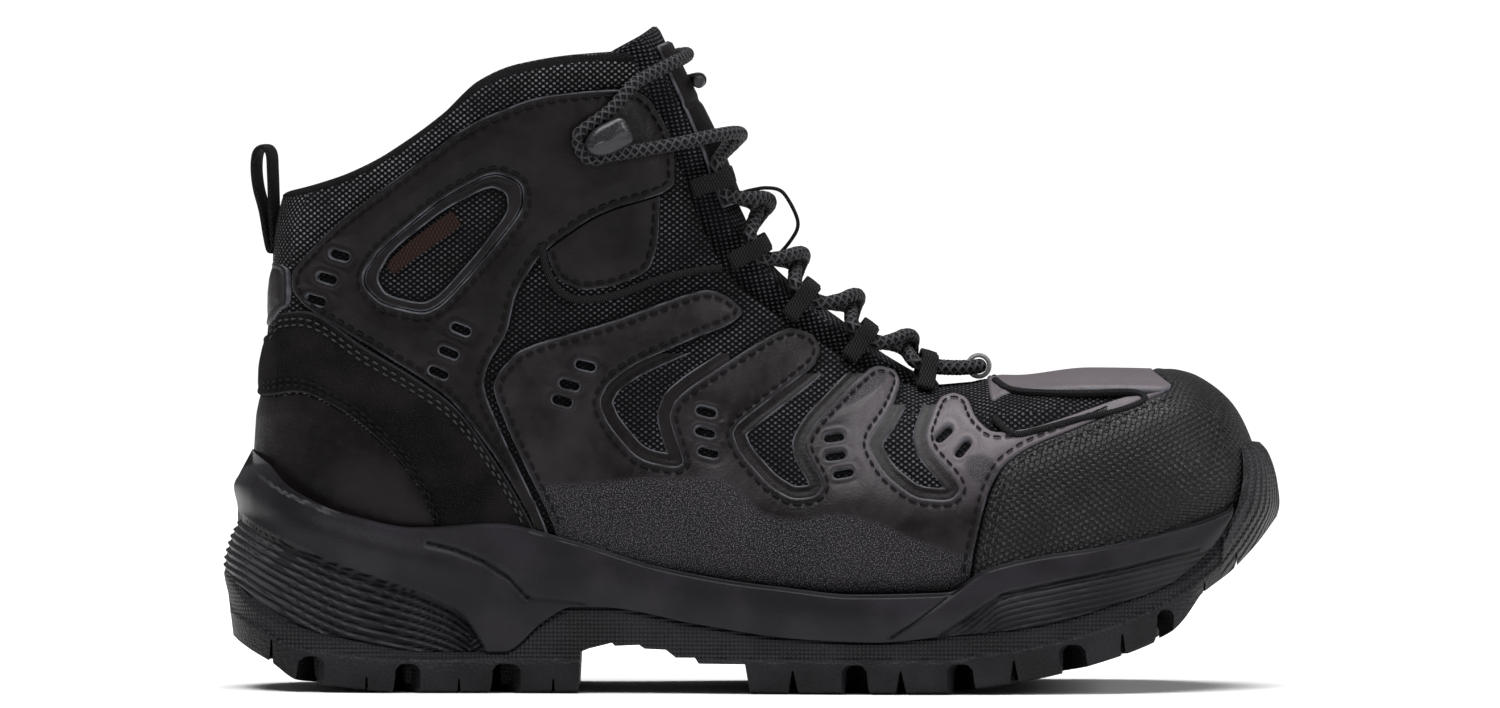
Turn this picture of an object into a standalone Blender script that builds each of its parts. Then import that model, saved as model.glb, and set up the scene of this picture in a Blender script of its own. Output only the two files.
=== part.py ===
"""Steel toe work boot, right foot. Toe +X, up +Z, outer side of the foot -Y.

The upper is one surface: a fan of cross-sections that turns from level at the
collar to upright over the forefoot and back to level round the toe. Every
layer of the boot is a patch of that surface between two distances from it.
Dimensions are in millimetres and are turned into metres when a mesh is made.
"""
import math

import bmesh
import bpy
import numpy as np

MM = 0.001
GAP = 0.3

# One row per cross-section: sole or heel point x z, instep or toe point x z,
# half width, place of the widest point, fullness below it, fullness above it.
SECTIONS = (
    (-133.5, 158.0, -33.0, 204.0, 39.5, 0.50, 2.2, 2.2),
    (-134.5, 143.0, -22.5, 181.0, 39.0, 0.50, 2.2, 2.2),
    (-137.5, 122.0, -12.5, 161.0, 37.5, 0.50, 2.2, 2.1),
    (-139.5, 100.0, -4.5, 141.0, 36.0, 0.48, 2.3, 2.1),
    (-142.0, 78.0, 4.0, 125.0, 35.5, 0.45, 2.3, 2.1),
    (-143.0, 56.0, 14.0, 115.5, 36.5, 0.42, 2.4, 2.1),
    (-128.0, 37.0, 27.0, 106.0, 36.5, 0.40, 2.8, 2.1),
    (-80.0, 35.0, 40.0, 95.8, 38.0, 0.35, 3.2, 2.1),
    (-30.0, 31.0, 57.0, 88.5, 42.0, 0.32, 3.4, 2.1),
    (20.0, 26.0, 78.0, 88.0, 47.0, 0.30, 3.5, 2.2),
    (60.0, 25.5, 100.0, 90.0, 49.5, 0.32, 3.5, 2.4),
    (90.0, 28.0, 122.0, 89.5, 47.5, 0.36, 3.3, 2.6),
    (108.0, 31.0, 138.0, 81.0, 43.5, 0.42, 3.0, 2.6),
    (120.0, 36.0, 145.5, 64.0, 34.0, 0.45, 2.6, 2.4),
    (128.0, 41.0, 147.8, 50.0, 24.5, 0.50, 2.4, 2.2),
)
SECTION_STEPS = 26
RING_STEPS = 12
INNER_SECTION_STEPS = 19
INNER_RING_STEPS = 9
OUTLINE_SPLITS = 1
FLAT_ANGLE = 0.02

# Side-view lines, x z
FOOT_LEAN = ((-156, 0), (-80, 0), (-30, -1.8), (30, -2.1), (80, 0.4), (120, 3.6), (156, 6.4))
COLLAR_LINE = ((-150, 144.5), (-136, 145.2), (-123, 148), (-112, 153), (-103, 159), (-91, 168),
               (-80, 178), (-68, 183), (-50, 186), (-20, 188))
SOLE_SEAM = ((-160, 72), (-148, 66), (-136, 58.5), (-118, 52), (-98, 48.2), (-75, 49.5), (-52, 44.5),
             (-27, 37), (-6, 33), (10, 31), (30, 29), (57, 29.6), (69, 36.5), (83, 40), (103, 43),
             (123, 47.8), (140, 53), (147, 66), (152, 72), (160, 73))
TREAD_TOP = ((-160, 38), (-155.8, 35.5), (-145, 24.6), (-131, 18.4), (-118, 15.5), (-94, 11.9),
             (-72, 11.9), (-60, 21), (-52, 25), (-44, 25), (-15, 20), (13, 16), (36, 15), (55, 16.6),
             (83, 19.6), (110, 27), (123, 31.6), (133, 37.8), (140, 46.6), (144, 58), (149, 71.5),
             (160, 72))
GROUND = ((-160, 18), (-150, 11.6), (-144, 8.6), (-135, 3.4), (-122, 1.6), (-103, 0), (-51, 0),
          (0, 0), (55, 0), (67, 1.6), (85, 4.6), (99, 8.1), (115, 13.4), (126, 19), (139, 28.5),
          (147, 34), (151, 40), (156, 50))
SOLE_HALF_WIDTH = ((-155.8, 2), (-154, 13), (-150, 22), (-140, 32), (-125, 39), (-105, 42),
                   (-75, 42.8), (-30, 45), (10, 49.5), (45, 53.8), (75, 55.4), (100, 53.8), (120, 48.8),
                   (134, 42.5), (145, 33), (152, 20.5), (156, 2))
SOLE_BACK = ((0, 5), (20, 3.2), (36, 0), (44, 1.8), (52, 5.3), (59, 5.4), (66, 7.9))
SOLE_FRONT = ((28, -12), (38, -5.8), (47, -1.8), (54, 0), (61, -0.8), (69, -3.4), (73, -7))

# Half width of the throat, measured round the upper, by section
THROAT_HALF = ((0, 29), (1, 27), (3, 25), (5, 22), (7, 18), (8, 14.5), (8.4, 9.5), (8.75, 0), (9, -10))

# Side-view outlines of the overlays, x z
CAGE = ((-56, 34), (-56, 46), (-69, 72.5), (-75.6, 88.7), (-73.4, 94), (-66.9, 100.8), (-39.9, 108.5),
        (-21.9, 115.2), (-12.8, 117.9), (-6, 115.6), (-1.6, 111), (-5.2, 107.6), (-17.5, 102.9),
        (-33.1, 96.1), (-41.1, 90.5), (-44, 84.9), (-41.3, 78.4), (-32.5, 68.1), (-19, 65.6),
        (-22.3, 75), (-23.9, 80.8), (-21.3, 87), (5.2, 104), (11.9, 106.6), (18.7, 104.4),
        (21, 99.6), (18.7, 94.9), (5.2, 84.9), (-5.4, 76.7), (-2.5, 69.9), (5.4, 61.1), (12.2, 56.9),
        (19, 57.6), (21.4, 61.1), (15, 72), (19, 79), (30.2, 90.2), (36.3, 95.4), (42.5, 94),
        (44.5, 90.2), (41.3, 82.3), (34.5, 73), (39.3, 64.3), (48.1, 57.3), (58.4, 56.5),
        (61.7, 60.2), (50, 73), (54.9, 85.8), (59.6, 87.5), (64, 85.8), (66.1, 80.2), (70.8, 75.9),
        (82, 77.3), (93.1, 80.8), (109, 86.2), (114, 86.6), (124, 88.4), (111.2, 83.4), (96.4, 77.2),
        (81, 71.4), (73.4, 66.3), (69, 57.8), (64.3, 37.5), (64, 20), (0, 16))
VAMP_SADDLE = ((70.5, 84), (75.5, 86.6), (96, 87.4), (112, 87.8), (116.2, 93), (112, 100), (72, 100),
               (69.5, 92))
ANKLE = ((-134.6, 123.4), (-120.8, 137.5), (-103.2, 150.5), (-82.6, 166.2), (-62, 174.6), (-38.4, 176.6),
         (-33.5, 174.4), (-27.4, 158), (-25.2, 147.2), (-44.3, 140.2), (-61, 128.5), (-68.6, 116.7),
         (-71, 104.6), (-76.8, 96), (-78.2, 88.7), (-71.2, 72.5), (-58.2, 46), (-58.2, 30),
         (-60, 30), (-62.8, 48.8), (-73.2, 67), (-86.6, 84.9), (-97, 92.4), (-111.8, 101.2),
         (-130.6, 112.2), (-134.6, 117))
WINDOW = ((-113, 123), (-107.9, 129.9), (-89.9, 144.6), (-75.2, 152.4), (-66.6, 149), (-66.2, 141.1),
          (-78.7, 125.5), (-89.9, 113.4), (-95.5, 110.6), (-107.9, 113.4), (-113.2, 118.7))
WINDOW_LABEL = ((-107.6, 126.3), (-87.2, 140.8), (-84.2, 136.6), (-104.6, 122.1))
EYESTAY_PANEL = ((-60, 130), (-57, 121), (-49.5, 117.2), (-39, 118.8), (-29.5, 122.8), (-27.5, 131),
                 (-29, 140),
                 (-44.3, 143), (-57, 137))
HEEL_BAND_TOP = ((-150, 103.5), (-142.5, 103.5), (-137, 110.4), (-131.1, 111.2), (-112, 100.2), (-97.3, 91.4),
                 (-87, 84), (-73.7, 66.2), (-63.4, 48), (-58, 36))
HEEL_BAND_LOW = ((-150, 85.8), (-143.8, 85.8), (-132.6, 87.2), (-120.8, 82.8), (-109, 74), (-97.3, 60.8),
                 (-91.4, 48), (-88, 38))
TOE_GUARD_EDGE = ((117, 96), (117, 93.3), (125.2, 88.3), (111.8, 83.9), (96.8, 77.7), (81.5, 71.9),
                  (74, 66.6), (69.7, 57.8), (65, 37.5), (64.7, 20), (175, 20), (175, 110), (117, 110))
BACK_TAB = ((-160, 104.6), (-142.6, 104.6), (-137.4, 111.6), (-135.4, 112.4), (-135.4, 123.6),
            (-139, 125.4), (-160, 125.4))

# Layers, as distances from the upper's surface
UPPER = (0.0, 2.0)
OVERLAY = (2.3, 4.0)
THIN_OVERLAY = (2.3, 3.6)
PATCH = (2.3, 2.9)
STIFFENER = (-3.1, -1.6)
LINING = (-4.8, -3.4)
BOARD = (-3.6, -1.9)
FOOTBED = (-8.3, -4.0)
SHANK = (1.9, 3.9)
SOLE_CLEARANCE = 4.3
SOLE_COVER = 4.5
LASTING_MARGIN = 17.0
COLLAR_PAD = 5.0
BINDING_HEIGHT = 5.0
BINDING_ROOM = 2.8
EDGE_ROOM = 0.7
SNAP = 0.25

# Tongue
TONGUE_ROOT = (58.0, 85.0)
TONGUE_ROOT_PLACE = 7.95
TONGUE_PEAK = 194.5
TONGUE_FRONT = 1.6
TONGUE_SIDE = -6.5
TONGUE_ROWS = 16
BADGE_HALF = 15.5
BADGE_PLACES = (0.62, 2.95)
KEEPER_PATH = ((3.46, 2.7), (3.47, 5.0), (3.55, 8.0), (3.7, 9.6), (3.87, 9.4), (4.02, 7.4), (4.1, 4.8),
               (4.12, 2.7))
KEEPER_HALF = 3.2
TONGUE_THICK = 7.0

# Lacing: loops as section and run from the centre line, the hook as a side-view place
LOOPS = ((2.55, 17.0), (3.75, 14.0), (5.25, 12.5), (6.5, 11.5), (7.7, 10.5))
RING_PLACE = 8.5
LOOP_RADIUS = 3.65
LOOP_HALF = 2.6
HOOK_PLACE = (-47.0, 161.0)
LACE_RADIUS = 2.0
LACE_AT_LOOP = 6.8
LACE_LOW = 5.8
LACE_HIGH = 10.2
LACE_AT_HOOK = 6.3
LACE_SIDES = 6
HOOK_TURN = 4.9
LACE_SAG = 0.25

# Tread
SOLE_STATIONS = 27
MIDSOLE_FRONT = 142.0
LUG_DEPTH = 8.5
CROSS_GROOVES = ((-126, 5.6), (-100, 6.6), (-71.5, 7.4), (28, 7.2), (59.5, 7.0), (91, 6.6), (120.5, 5.8))
NOTCHES = ((11.6, 3.2), (43.7, 3.4), (76.7, 3.4), (107.5, 3.0))
WAIST = (-50.5, 1.0, 12.0)

LEATHER = (0.030, 0.026, 0.028)
SATIN_LEATHER = (0.062, 0.058, 0.064)
MESH = (0.018, 0.017, 0.019)
MIDSOLE_COLOUR = (0.042, 0.038, 0.052)
RUBBER = (0.014, 0.014, 0.017)
BLACK = (0.010, 0.010, 0.011)


def clear_scene():
    for item in list(bpy.data.objects):
        bpy.data.objects.remove(item, do_unlink=True)


def material(name, colour, roughness, metallic=0.0):
    made = bpy.data.materials.new(name)
    made.use_nodes = True
    shader = made.node_tree.nodes["Principled BSDF"]
    shader.inputs["Base Color"].default_value = (*colour, 1.0)
    shader.inputs["Roughness"].default_value = roughness
    shader.inputs["Metallic"].default_value = metallic
    made.diffuse_color = (*colour, 1.0)
    return made


def smoothstep(value):
    value = np.clip(value, 0.0, 1.0)
    return value * value * (3.0 - 2.0 * value)


def slopes_of(x, y):
    """Slopes of a cubic through the points that doesn't overshoot them."""
    step = np.diff(x)
    rise = np.diff(y, axis=0) / (step[:, None] if y.ndim > 1 else step)
    slope = np.zeros_like(y)
    slope[0] = rise[0]
    slope[-1] = rise[-1]
    same = rise[:-1] * rise[1:] > 0
    both = 2.0 * rise[:-1] * rise[1:]
    total = np.where(same, rise[:-1] + rise[1:], 1.0)
    slope[1:-1] = np.where(same, both / total, 0.0)
    return slope


def smooth_line(keys, at):
    """Smooth curve through the keys (first column is the argument), read at the given places."""
    table = np.array(keys, dtype=float)
    x = table[:, 0]
    y = table[:, 1] if table.shape[1] == 2 else table[:, 1:]
    slope = slopes_of(x, y)
    at = np.clip(np.asarray(at, dtype=float), x[0], x[-1])
    cell = np.clip(np.searchsorted(x, at, side="right") - 1, 0, len(x) - 2)
    width = x[cell + 1] - x[cell]
    t = (at - x[cell]) / width
    if y.ndim > 1:
        width = width[..., None]
        t = t[..., None]
    h01 = t * t * (3.0 - 2.0 * t)
    h10 = t * (1.0 - t) ** 2
    h11 = t * t * (t - 1.0)
    return (1.0 - h01) * y[cell] + h01 * y[cell + 1] + width * (h10 * slope[cell] + h11 * slope[cell + 1])


def rounded(outline, times=2):
    """Closed outline with its corners cut and cut again."""
    points = np.array(outline, dtype=float)
    for _ in range(times):
        ahead = np.roll(points, -1, axis=0)
        points = np.stack((0.82 * points + 0.18 * ahead, 0.18 * points + 0.82 * ahead), axis=1).reshape(-1, 2)
    return points


def distance_inside(outline, x, z):
    """Distance to a closed outline, positive inside it."""
    outline = np.asarray(outline, dtype=float)
    x = np.asarray(x, dtype=float)
    z = np.asarray(z, dtype=float)
    best = np.full(x.shape, 1e9)
    inside = np.zeros(x.shape, dtype=bool)
    for (ax, az), (bx, bz) in zip(outline, np.roll(outline, -1, axis=0)):
        dx = bx - ax
        dz = bz - az
        t = np.clip(((x - ax) * dx + (z - az) * dz) / max(dx * dx + dz * dz, 1e-12), 0.0, 1.0)
        best = np.minimum(best, np.hypot(x - ax - t * dx, z - az - t * dz))
        if abs(dz) > 1e-12:
            crossing = ((az > z) != (bz > z)) & (x < ax + dx * (z - az) / dz)
            inside ^= crossing
    return np.where(inside, best, -best)


def section_curve(values, count=240):
    """One side of one cross-section, from its sole end to its instep end, as x, half width, z."""
    low_x, low_z, high_x, high_z, half, widest, low_full, high_full = values
    angle = np.linspace(0.0, math.pi, count)
    cosine = np.abs(np.cos(angle))
    sine = np.abs(np.sin(angle))
    below = angle <= math.pi / 2
    along = np.where(below, widest * (1.0 - cosine ** (2.0 / low_full)),
                     widest + (1.0 - widest) * cosine ** (2.0 / high_full))
    out = half * np.where(below, sine ** (2.0 / low_full), sine ** (2.0 / high_full))
    return np.stack((low_x + (high_x - low_x) * along, out, low_z + (high_z - low_z) * along), axis=1)


def section_values(place):
    keys = [(i, *row) for i, row in enumerate(SECTIONS)]
    return smooth_line(keys, float(place))


def run_lengths(points):
    return np.concatenate(([0.0], np.cumsum(np.linalg.norm(np.diff(points, axis=0), axis=1))))


def lean(x):
    return smooth_line(FOOT_LEAN, x)


def upper_point(place, from_centre, side):
    """Point of the upper at a section, a distance round it from the instep line; side -1 outer, 1 inner."""
    curve = section_curve(section_values(place))[::-1]
    run = run_lengths(curve)
    reach = abs(from_centre)
    point = np.array([np.interp(reach, run, curve[:, k]) for k in range(3)])
    return np.array((point[0], side * point[1] + float(lean(point[0])), point[2]))


def upper_normal(place, from_centre, side):
    eps = 0.6
    nearer = max(from_centre - eps, 0.0)
    across = upper_point(place, from_centre + eps, side) - upper_point(place, nearer, side)
    low = max(place - 0.05, 0.0)
    high = min(place + 0.05, len(SECTIONS) - 1.0)
    along = upper_point(high, from_centre, side) - upper_point(low, from_centre, side)
    normal = np.cross(along, across) * side
    return normal / max(np.linalg.norm(normal), 1e-9)


class Skin:
    """Triangles of the upper with position, normal, place (section) and signed run from the centre line."""

    def __init__(self, points, normals, place, run, faces):
        self.points = points
        self.normals = normals
        self.place = place
        self.run = run
        self.faces = faces

    def clipped(self, field):
        """The part where the field is positive, cut along its zero line."""
        field = np.asarray(field, dtype=float)
        field = np.where(np.abs(field) < SNAP, np.where(field < 0, -SNAP, SNAP), field)
        data = np.column_stack((self.points, self.normals, self.place, self.run))
        rows = list(data)
        cut = {}

        def between(a, b):
            key = (min(a, b), max(a, b))
            if key not in cut:
                t = field[key[0]] / (field[key[0]] - field[key[1]])
                rows.append(data[key[0]] * (1.0 - t) + data[key[1]] * t)
                cut[key] = len(rows) - 1
            return cut[key]

        faces = []
        for face in self.faces:
            kept = []
            for a, b in zip(face, (face[1], face[2], face[0])):
                if field[a] > 0:
                    kept.append(a)
                if (field[a] > 0) != (field[b] > 0):
                    kept.append(between(a, b))
            for k in range(1, len(kept) - 1):
                faces.append((kept[0], kept[k], kept[k + 1]))
        return Skin.packed(np.array(rows), faces)

    @staticmethod
    def packed(rows, faces):
        used = sorted({v for face in faces for v in face})
        number = {v: i for i, v in enumerate(used)}
        rows = rows[used]
        faces = [tuple(number[v] for v in face) for face in faces]
        return Skin(rows[:, 0:3], rows[:, 3:6], rows[:, 6], rows[:, 7], faces)

    def split(self, times=OUTLINE_SPLITS):
        """The same facets in smaller triangles, so that an outline is cut closely."""
        rows = list(np.column_stack((self.points, self.normals, self.place, self.run)))
        faces = self.faces
        for _ in range(times):
            middle = {}
            smaller = []
            for a, b, c in faces:
                mids = []
                for p, q in ((a, b), (b, c), (c, a)):
                    key = (min(p, q), max(p, q))
                    if key not in middle:
                        rows.append((rows[p] + rows[q]) / 2.0)
                        middle[key] = len(rows) - 1
                    mids.append(middle[key])
                ab, bc, ca = mids
                smaller += [(a, ab, ca), (ab, b, bc), (ca, bc, c), (ab, bc, ca)]
            faces = smaller
        return Skin.packed(np.array(rows), faces)

    def cut_to(self, outline):
        """The patch inside a side-view outline."""
        near = self.clipped(in_outline(self, outline) + 14.0).split()
        return near.clipped(in_outline(near, outline))

    def largest(self):
        """The biggest connected patch."""
        parent = list(range(len(self.points)))

        def root(v):
            while parent[v] != v:
                parent[v] = parent[parent[v]]
                v = parent[v]
            return v

        for a, b, c in self.faces:
            parent[root(b)] = root(a)
            parent[root(c)] = root(a)
        groups = {}
        for face in self.faces:
            groups.setdefault(root(face[0]), []).append(face)
        best = max(groups.values(), key=len)
        return Skin.packed(np.column_stack((self.points, self.normals, self.place, self.run)), best)

    @property
    def x(self):
        return self.points[:, 0]

    @property
    def y(self):
        return self.points[:, 1]

    @property
    def z(self):
        return self.points[:, 2]


def make_skin(section_steps=SECTION_STEPS, ring_steps=RING_STEPS):
    places = np.linspace(0.0, len(SECTIONS) - 1.0, section_steps + 1)
    rows = []
    runs = []
    for place in places:
        curve = section_curve(section_values(place))
        run = run_lengths(curve)
        steps = np.linspace(0.0, run[-1], ring_steps + 1)
        side = np.stack([np.interp(steps, run, curve[:, k]) for k in range(3)], axis=1)
        shift = lean(side[:, 0])
        outer = np.column_stack((side[:, 0], shift - side[:, 1], side[:, 2]))
        inner = np.column_stack((side[:, 0], shift + side[:, 1], side[:, 2]))[::-1][1:-1]
        from_top = run[-1] - steps
        rows.append(np.vstack((outer, inner)))
        runs.append(np.concatenate((-from_top, from_top[::-1][1:-1])))
    grid = np.array(rows)
    ring = grid.shape[1]
    ahead = np.gradient(grid, axis=0)
    around = np.roll(grid, -1, axis=1) - np.roll(grid, 1, axis=1)
    normals = np.cross(ahead, around)
    normals /= np.maximum(np.linalg.norm(normals, axis=2, keepdims=True), 1e-9)
    middle = grid.mean(axis=1, keepdims=True)
    if np.sum(normals * (grid - middle)) < 0:
        normals = -normals
    faces = []
    for i in range(len(places) - 1):
        for j in range(ring):
            k = (j + 1) % ring
            a = i * ring + j
            b = i * ring + k
            c = (i + 1) * ring + k
            d = (i + 1) * ring + j
            faces.append((a, b, c))
            faces.append((a, c, d))
    place = np.repeat(places, ring)
    skin = Skin(grid.reshape(-1, 3), normals.reshape(-1, 3), place, np.concatenate(runs), faces)
    a, b, c = faces[len(faces) // 3]
    facing = np.cross(skin.points[b] - skin.points[a], skin.points[c] - skin.points[a])
    if np.dot(facing, skin.normals[a]) < 0:
        skin.faces = [(p, r, q) for p, q, r in faces]
    return skin


def facing_out(points, faces):
    """The faces, all turned over if they enclose a negative volume."""
    points = np.asarray(points, dtype=float)
    volume = 0.0
    for face in faces:
        for k in range(1, len(face) - 1):
            volume += np.dot(points[face[0]], np.cross(points[face[k]], points[face[k + 1]]))
    return faces if volume > 0 else [tuple(reversed(face)) for face in faces]


def new_object(name, points, faces, made_of, origin=(0.0, 0.0, 0.0)):
    """Mesh object from millimetre points, its own origin on the given place."""
    centre = np.array(origin, dtype=float)
    mesh = bpy.data.meshes.new(name)
    placed = (np.asarray(points, dtype=float) - centre) * MM
    mesh.from_pydata([tuple(p) for p in placed], [], [tuple(f) for f in faces])
    mesh.validate()
    mesh.materials.append(made_of)
    mesh.shade_smooth()
    mesh.set_sharp_from_angle(angle=math.radians(40))
    item = bpy.data.objects.new(name, mesh)
    item.location = tuple(centre * MM)
    bpy.context.scene.collection.objects.link(item)
    return item


def slab(name, skin, near, far, made_of, origin=(0.0, 0.0, 0.0)):
    """Closed solid between two distances from the skin; either may be one value or one per point."""
    near = np.broadcast_to(np.asarray(near, dtype=float), skin.x.shape)
    far = np.broadcast_to(np.asarray(far, dtype=float), skin.x.shape)
    inner = skin.points + skin.normals * near[:, None]
    outer = skin.points + skin.normals * far[:, None]
    count = len(skin.points)
    faces = [tuple(v + count for v in face) for face in skin.faces]
    faces += [(a, c, b) for a, b, c in skin.faces]
    directed = set()
    for a, b, c in skin.faces:
        directed.update(((a, b), (b, c), (c, a)))
    for a, b in sorted(directed):
        if (b, a) not in directed:
            faces.append((a, b, b + count, a + count))
    item = new_object(name, np.vstack((inner, outer)), faces, made_of, origin)
    merge_flat(item.data)
    return item


def merge_flat(mesh):
    """Joins the facets that lie in one plane."""
    shape = bmesh.new()
    shape.from_mesh(mesh)
    bmesh.ops.dissolve_limit(shape, angle_limit=FLAT_ANGLE, verts=shape.verts, edges=shape.edges)
    bmesh.ops.triangulate(shape, faces=shape.faces)
    shape.to_mesh(mesh)
    shape.free()


def boolean(item, cutter, kind="DIFFERENCE"):
    cut = item.modifiers.new(kind.lower(), "BOOLEAN")
    cut.operation = kind
    cut.object = cutter
    cut.solver = "EXACT"
    cutter.hide_render = True
    cutter.display_type = "WIRE"


def above_sole(skin, cover=SOLE_COVER, reach=3.0):
    seam = smooth_line(SOLE_SEAM, skin.x + skin.normals[:, 0] * reach)
    return skin.z + skin.normals[:, 2] * reach - (seam - cover)


def below_collar(skin, drop=0.0):
    return smooth_line(COLLAR_LINE, skin.x) - drop - skin.z


def in_outline(skin, outline, reach=3.0):
    return distance_inside(outline, skin.x + skin.normals[:, 0] * reach, skin.z + skin.normals[:, 2] * reach)


def throat_half(skin):
    return smooth_line(THROAT_HALF, skin.place)


def out_of_throat(skin):
    return np.abs(skin.run) - throat_half(skin)


def beside_centre(skin, side, margin):
    return side * (skin.y - lean(skin.x)) - margin


def vamp_seam(skin):
    """Positive ahead of the seam between vamp and quarters."""
    return skin.x - (8.0 + 0.444 * (skin.z - 20.0))


def margin_kept(skin, half=LASTING_MARGIN):
    """Negative only on the middle strip under the foot."""
    flat = skin.normals[:, 2] < -0.55
    from_middle = np.abs(skin.y - lean(skin.x)) - half
    return np.where(flat, from_middle, np.maximum(from_middle, 1.0))


def build_upper(skin, mesh_cloth, made):
    shaft = skin.clipped(below_collar(skin, BINDING_HEIGHT))
    shaft = shaft.clipped(out_of_throat(shaft))
    shaft = shaft.clipped(margin_kept(shaft))
    quarters = shaft.clipped(-vamp_seam(shaft) - GAP / 2)
    for name, side in (("quarter_lateral", -1), ("quarter_medial", 1)):
        half = quarters.clipped(beside_centre(quarters, side, GAP / 2)).largest()
        made[name] = slab(name, half, *UPPER, mesh_cloth)
    vamp = shaft.clipped(vamp_seam(shaft) - GAP / 2).largest()
    made["vamp"] = slab("vamp", vamp, *UPPER, mesh_cloth)


def kept_off(skin, *outlines):
    """The skin outside other pieces' outlines, with room between the edges."""
    for outline in outlines:
        skin = skin.clipped(-in_outline(skin, outline) - EDGE_ROOM)
    return skin


def build_side_overlays(half, word, made, leather, satin, patch_cloth):
    cage_line = rounded(CAGE, 1)
    ankle_line = rounded(ANKLE, 1)
    guard_line = rounded(TOE_GUARD_EDGE, 1)
    window_line = rounded(WINDOW)
    cage = kept_off(half.cut_to(cage_line), guard_line).largest()
    made["cage_" + word] = slab("cage_" + word, cage, *OVERLAY, satin)
    ankle = kept_off(half.cut_to(ankle_line), cage_line)
    ankle = ankle.clipped(-in_outline(ankle, window_line)).largest()
    made["ankle_overlay_" + word] = slab("ankle_overlay_" + word, ankle, *THIN_OVERLAY, leather)
    label = half.cut_to(np.array(WINDOW_LABEL))
    label = label.clipped(in_outline(label, window_line) - EDGE_ROOM).largest()
    made["window_patch_" + word] = slab("window_patch_" + word, label, *PATCH, patch_cloth)
    panel = half.cut_to(rounded(EYESTAY_PANEL))
    panel = kept_off(panel, ankle_line, cage_line).largest()
    made["eyestay_panel_" + word] = slab("eyestay_panel_" + word, panel, *THIN_OVERLAY, leather)


def build_overlays(skin, made, leather, satin, suede, grip, patch_cloth):
    covered = skin.clipped(above_sole(skin))
    cage_line = rounded(CAGE, 1)
    ankle_line = rounded(ANKLE, 1)
    guard_line = rounded(TOE_GUARD_EDGE, 1)
    for word, side in (("lateral", -1), ("medial", 1)):
        half = covered.clipped(beside_centre(covered, side, GAP))
        build_side_overlays(half, word, made, leather, satin, patch_cloth)
    saddle = covered.cut_to(rounded(VAMP_SADDLE, 1))
    saddle = kept_off(saddle, cage_line, guard_line).largest()
    made["vamp_saddle"] = slab("vamp_saddle", saddle, *OVERLAY, satin)
    guard = covered.cut_to(guard_line).largest()
    made["toe_guard"] = slab("toe_guard", guard, *OVERLAY, grip)
    tab_line = rounded(BACK_TAB, 1)
    tab = kept_off(covered.cut_to(tab_line), ankle_line).largest()
    made["backstay"] = slab("backstay", tab, *THIN_OVERLAY, leather)
    back = kept_off(covered.clipped(-57.0 - covered.x).split(), ankle_line, cage_line, tab_line)
    band = back.clipped(heel_band_top(back))
    band = band.clipped(heel_band_low(band)).largest()
    made["heel_guard"] = slab("heel_guard", band, *OVERLAY, suede)
    panel = back.clipped(-heel_band_low(back) - EDGE_ROOM)
    panel = panel.clipped(-88.6 - panel.x).largest()
    made["heel_panel"] = slab("heel_panel", panel, *THIN_OVERLAY, leather)


def heel_band_low(skin, reach=3.0):
    """Height over the lower edge of the heel band."""
    edge = smooth_line(HEEL_BAND_LOW, skin.x + skin.normals[:, 0] * reach)
    return skin.z + skin.normals[:, 2] * reach - edge


def heel_band_top(skin, reach=3.0):
    """Depth under the upper edge of the heel band."""
    edge = smooth_line(HEEL_BAND_TOP, skin.x + skin.normals[:, 0] * reach)
    return edge - skin.z - skin.normals[:, 2] * reach


def pad_depth(skin):
    """Extra thickness of the padded collar, fading downwards and towards the tongue."""
    down = smoothstep((44.0 - below_collar(skin)) / 26.0)
    back = smoothstep((-60.0 - skin.x) / 14.0)
    return COLLAR_PAD * down * back


def build_linings(skin, made, cloth, binding_cloth):
    inside = skin.clipped(below_collar(skin, BINDING_HEIGHT))
    inside = inside.clipped(out_of_throat(inside))
    inside = inside.clipped((inside.normals[:, 2] + 0.68) * 30.0)
    rear = inside.clipped(-vamp_seam(inside) - GAP).largest()
    made["collar_lining"] = slab("collar_lining", rear, LINING[0] - pad_depth(rear), LINING[1], cloth)
    front = inside.clipped(vamp_seam(inside) - GAP).largest()
    made["vamp_lining"] = slab("vamp_lining", front, *LINING, cloth)
    top = skin.clipped(BINDING_HEIGHT - BINDING_ROOM - below_collar(skin))
    top = top.clipped(below_collar(top))
    top = top.clipped(out_of_throat(top)).largest()
    made["collar_binding"] = slab("collar_binding", top, LINING[0] - pad_depth(top), 2.4, binding_cloth)


def cap_edge(skin):
    return skin.x - (96.0 - 0.12 * (skin.z - 30.0))


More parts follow.
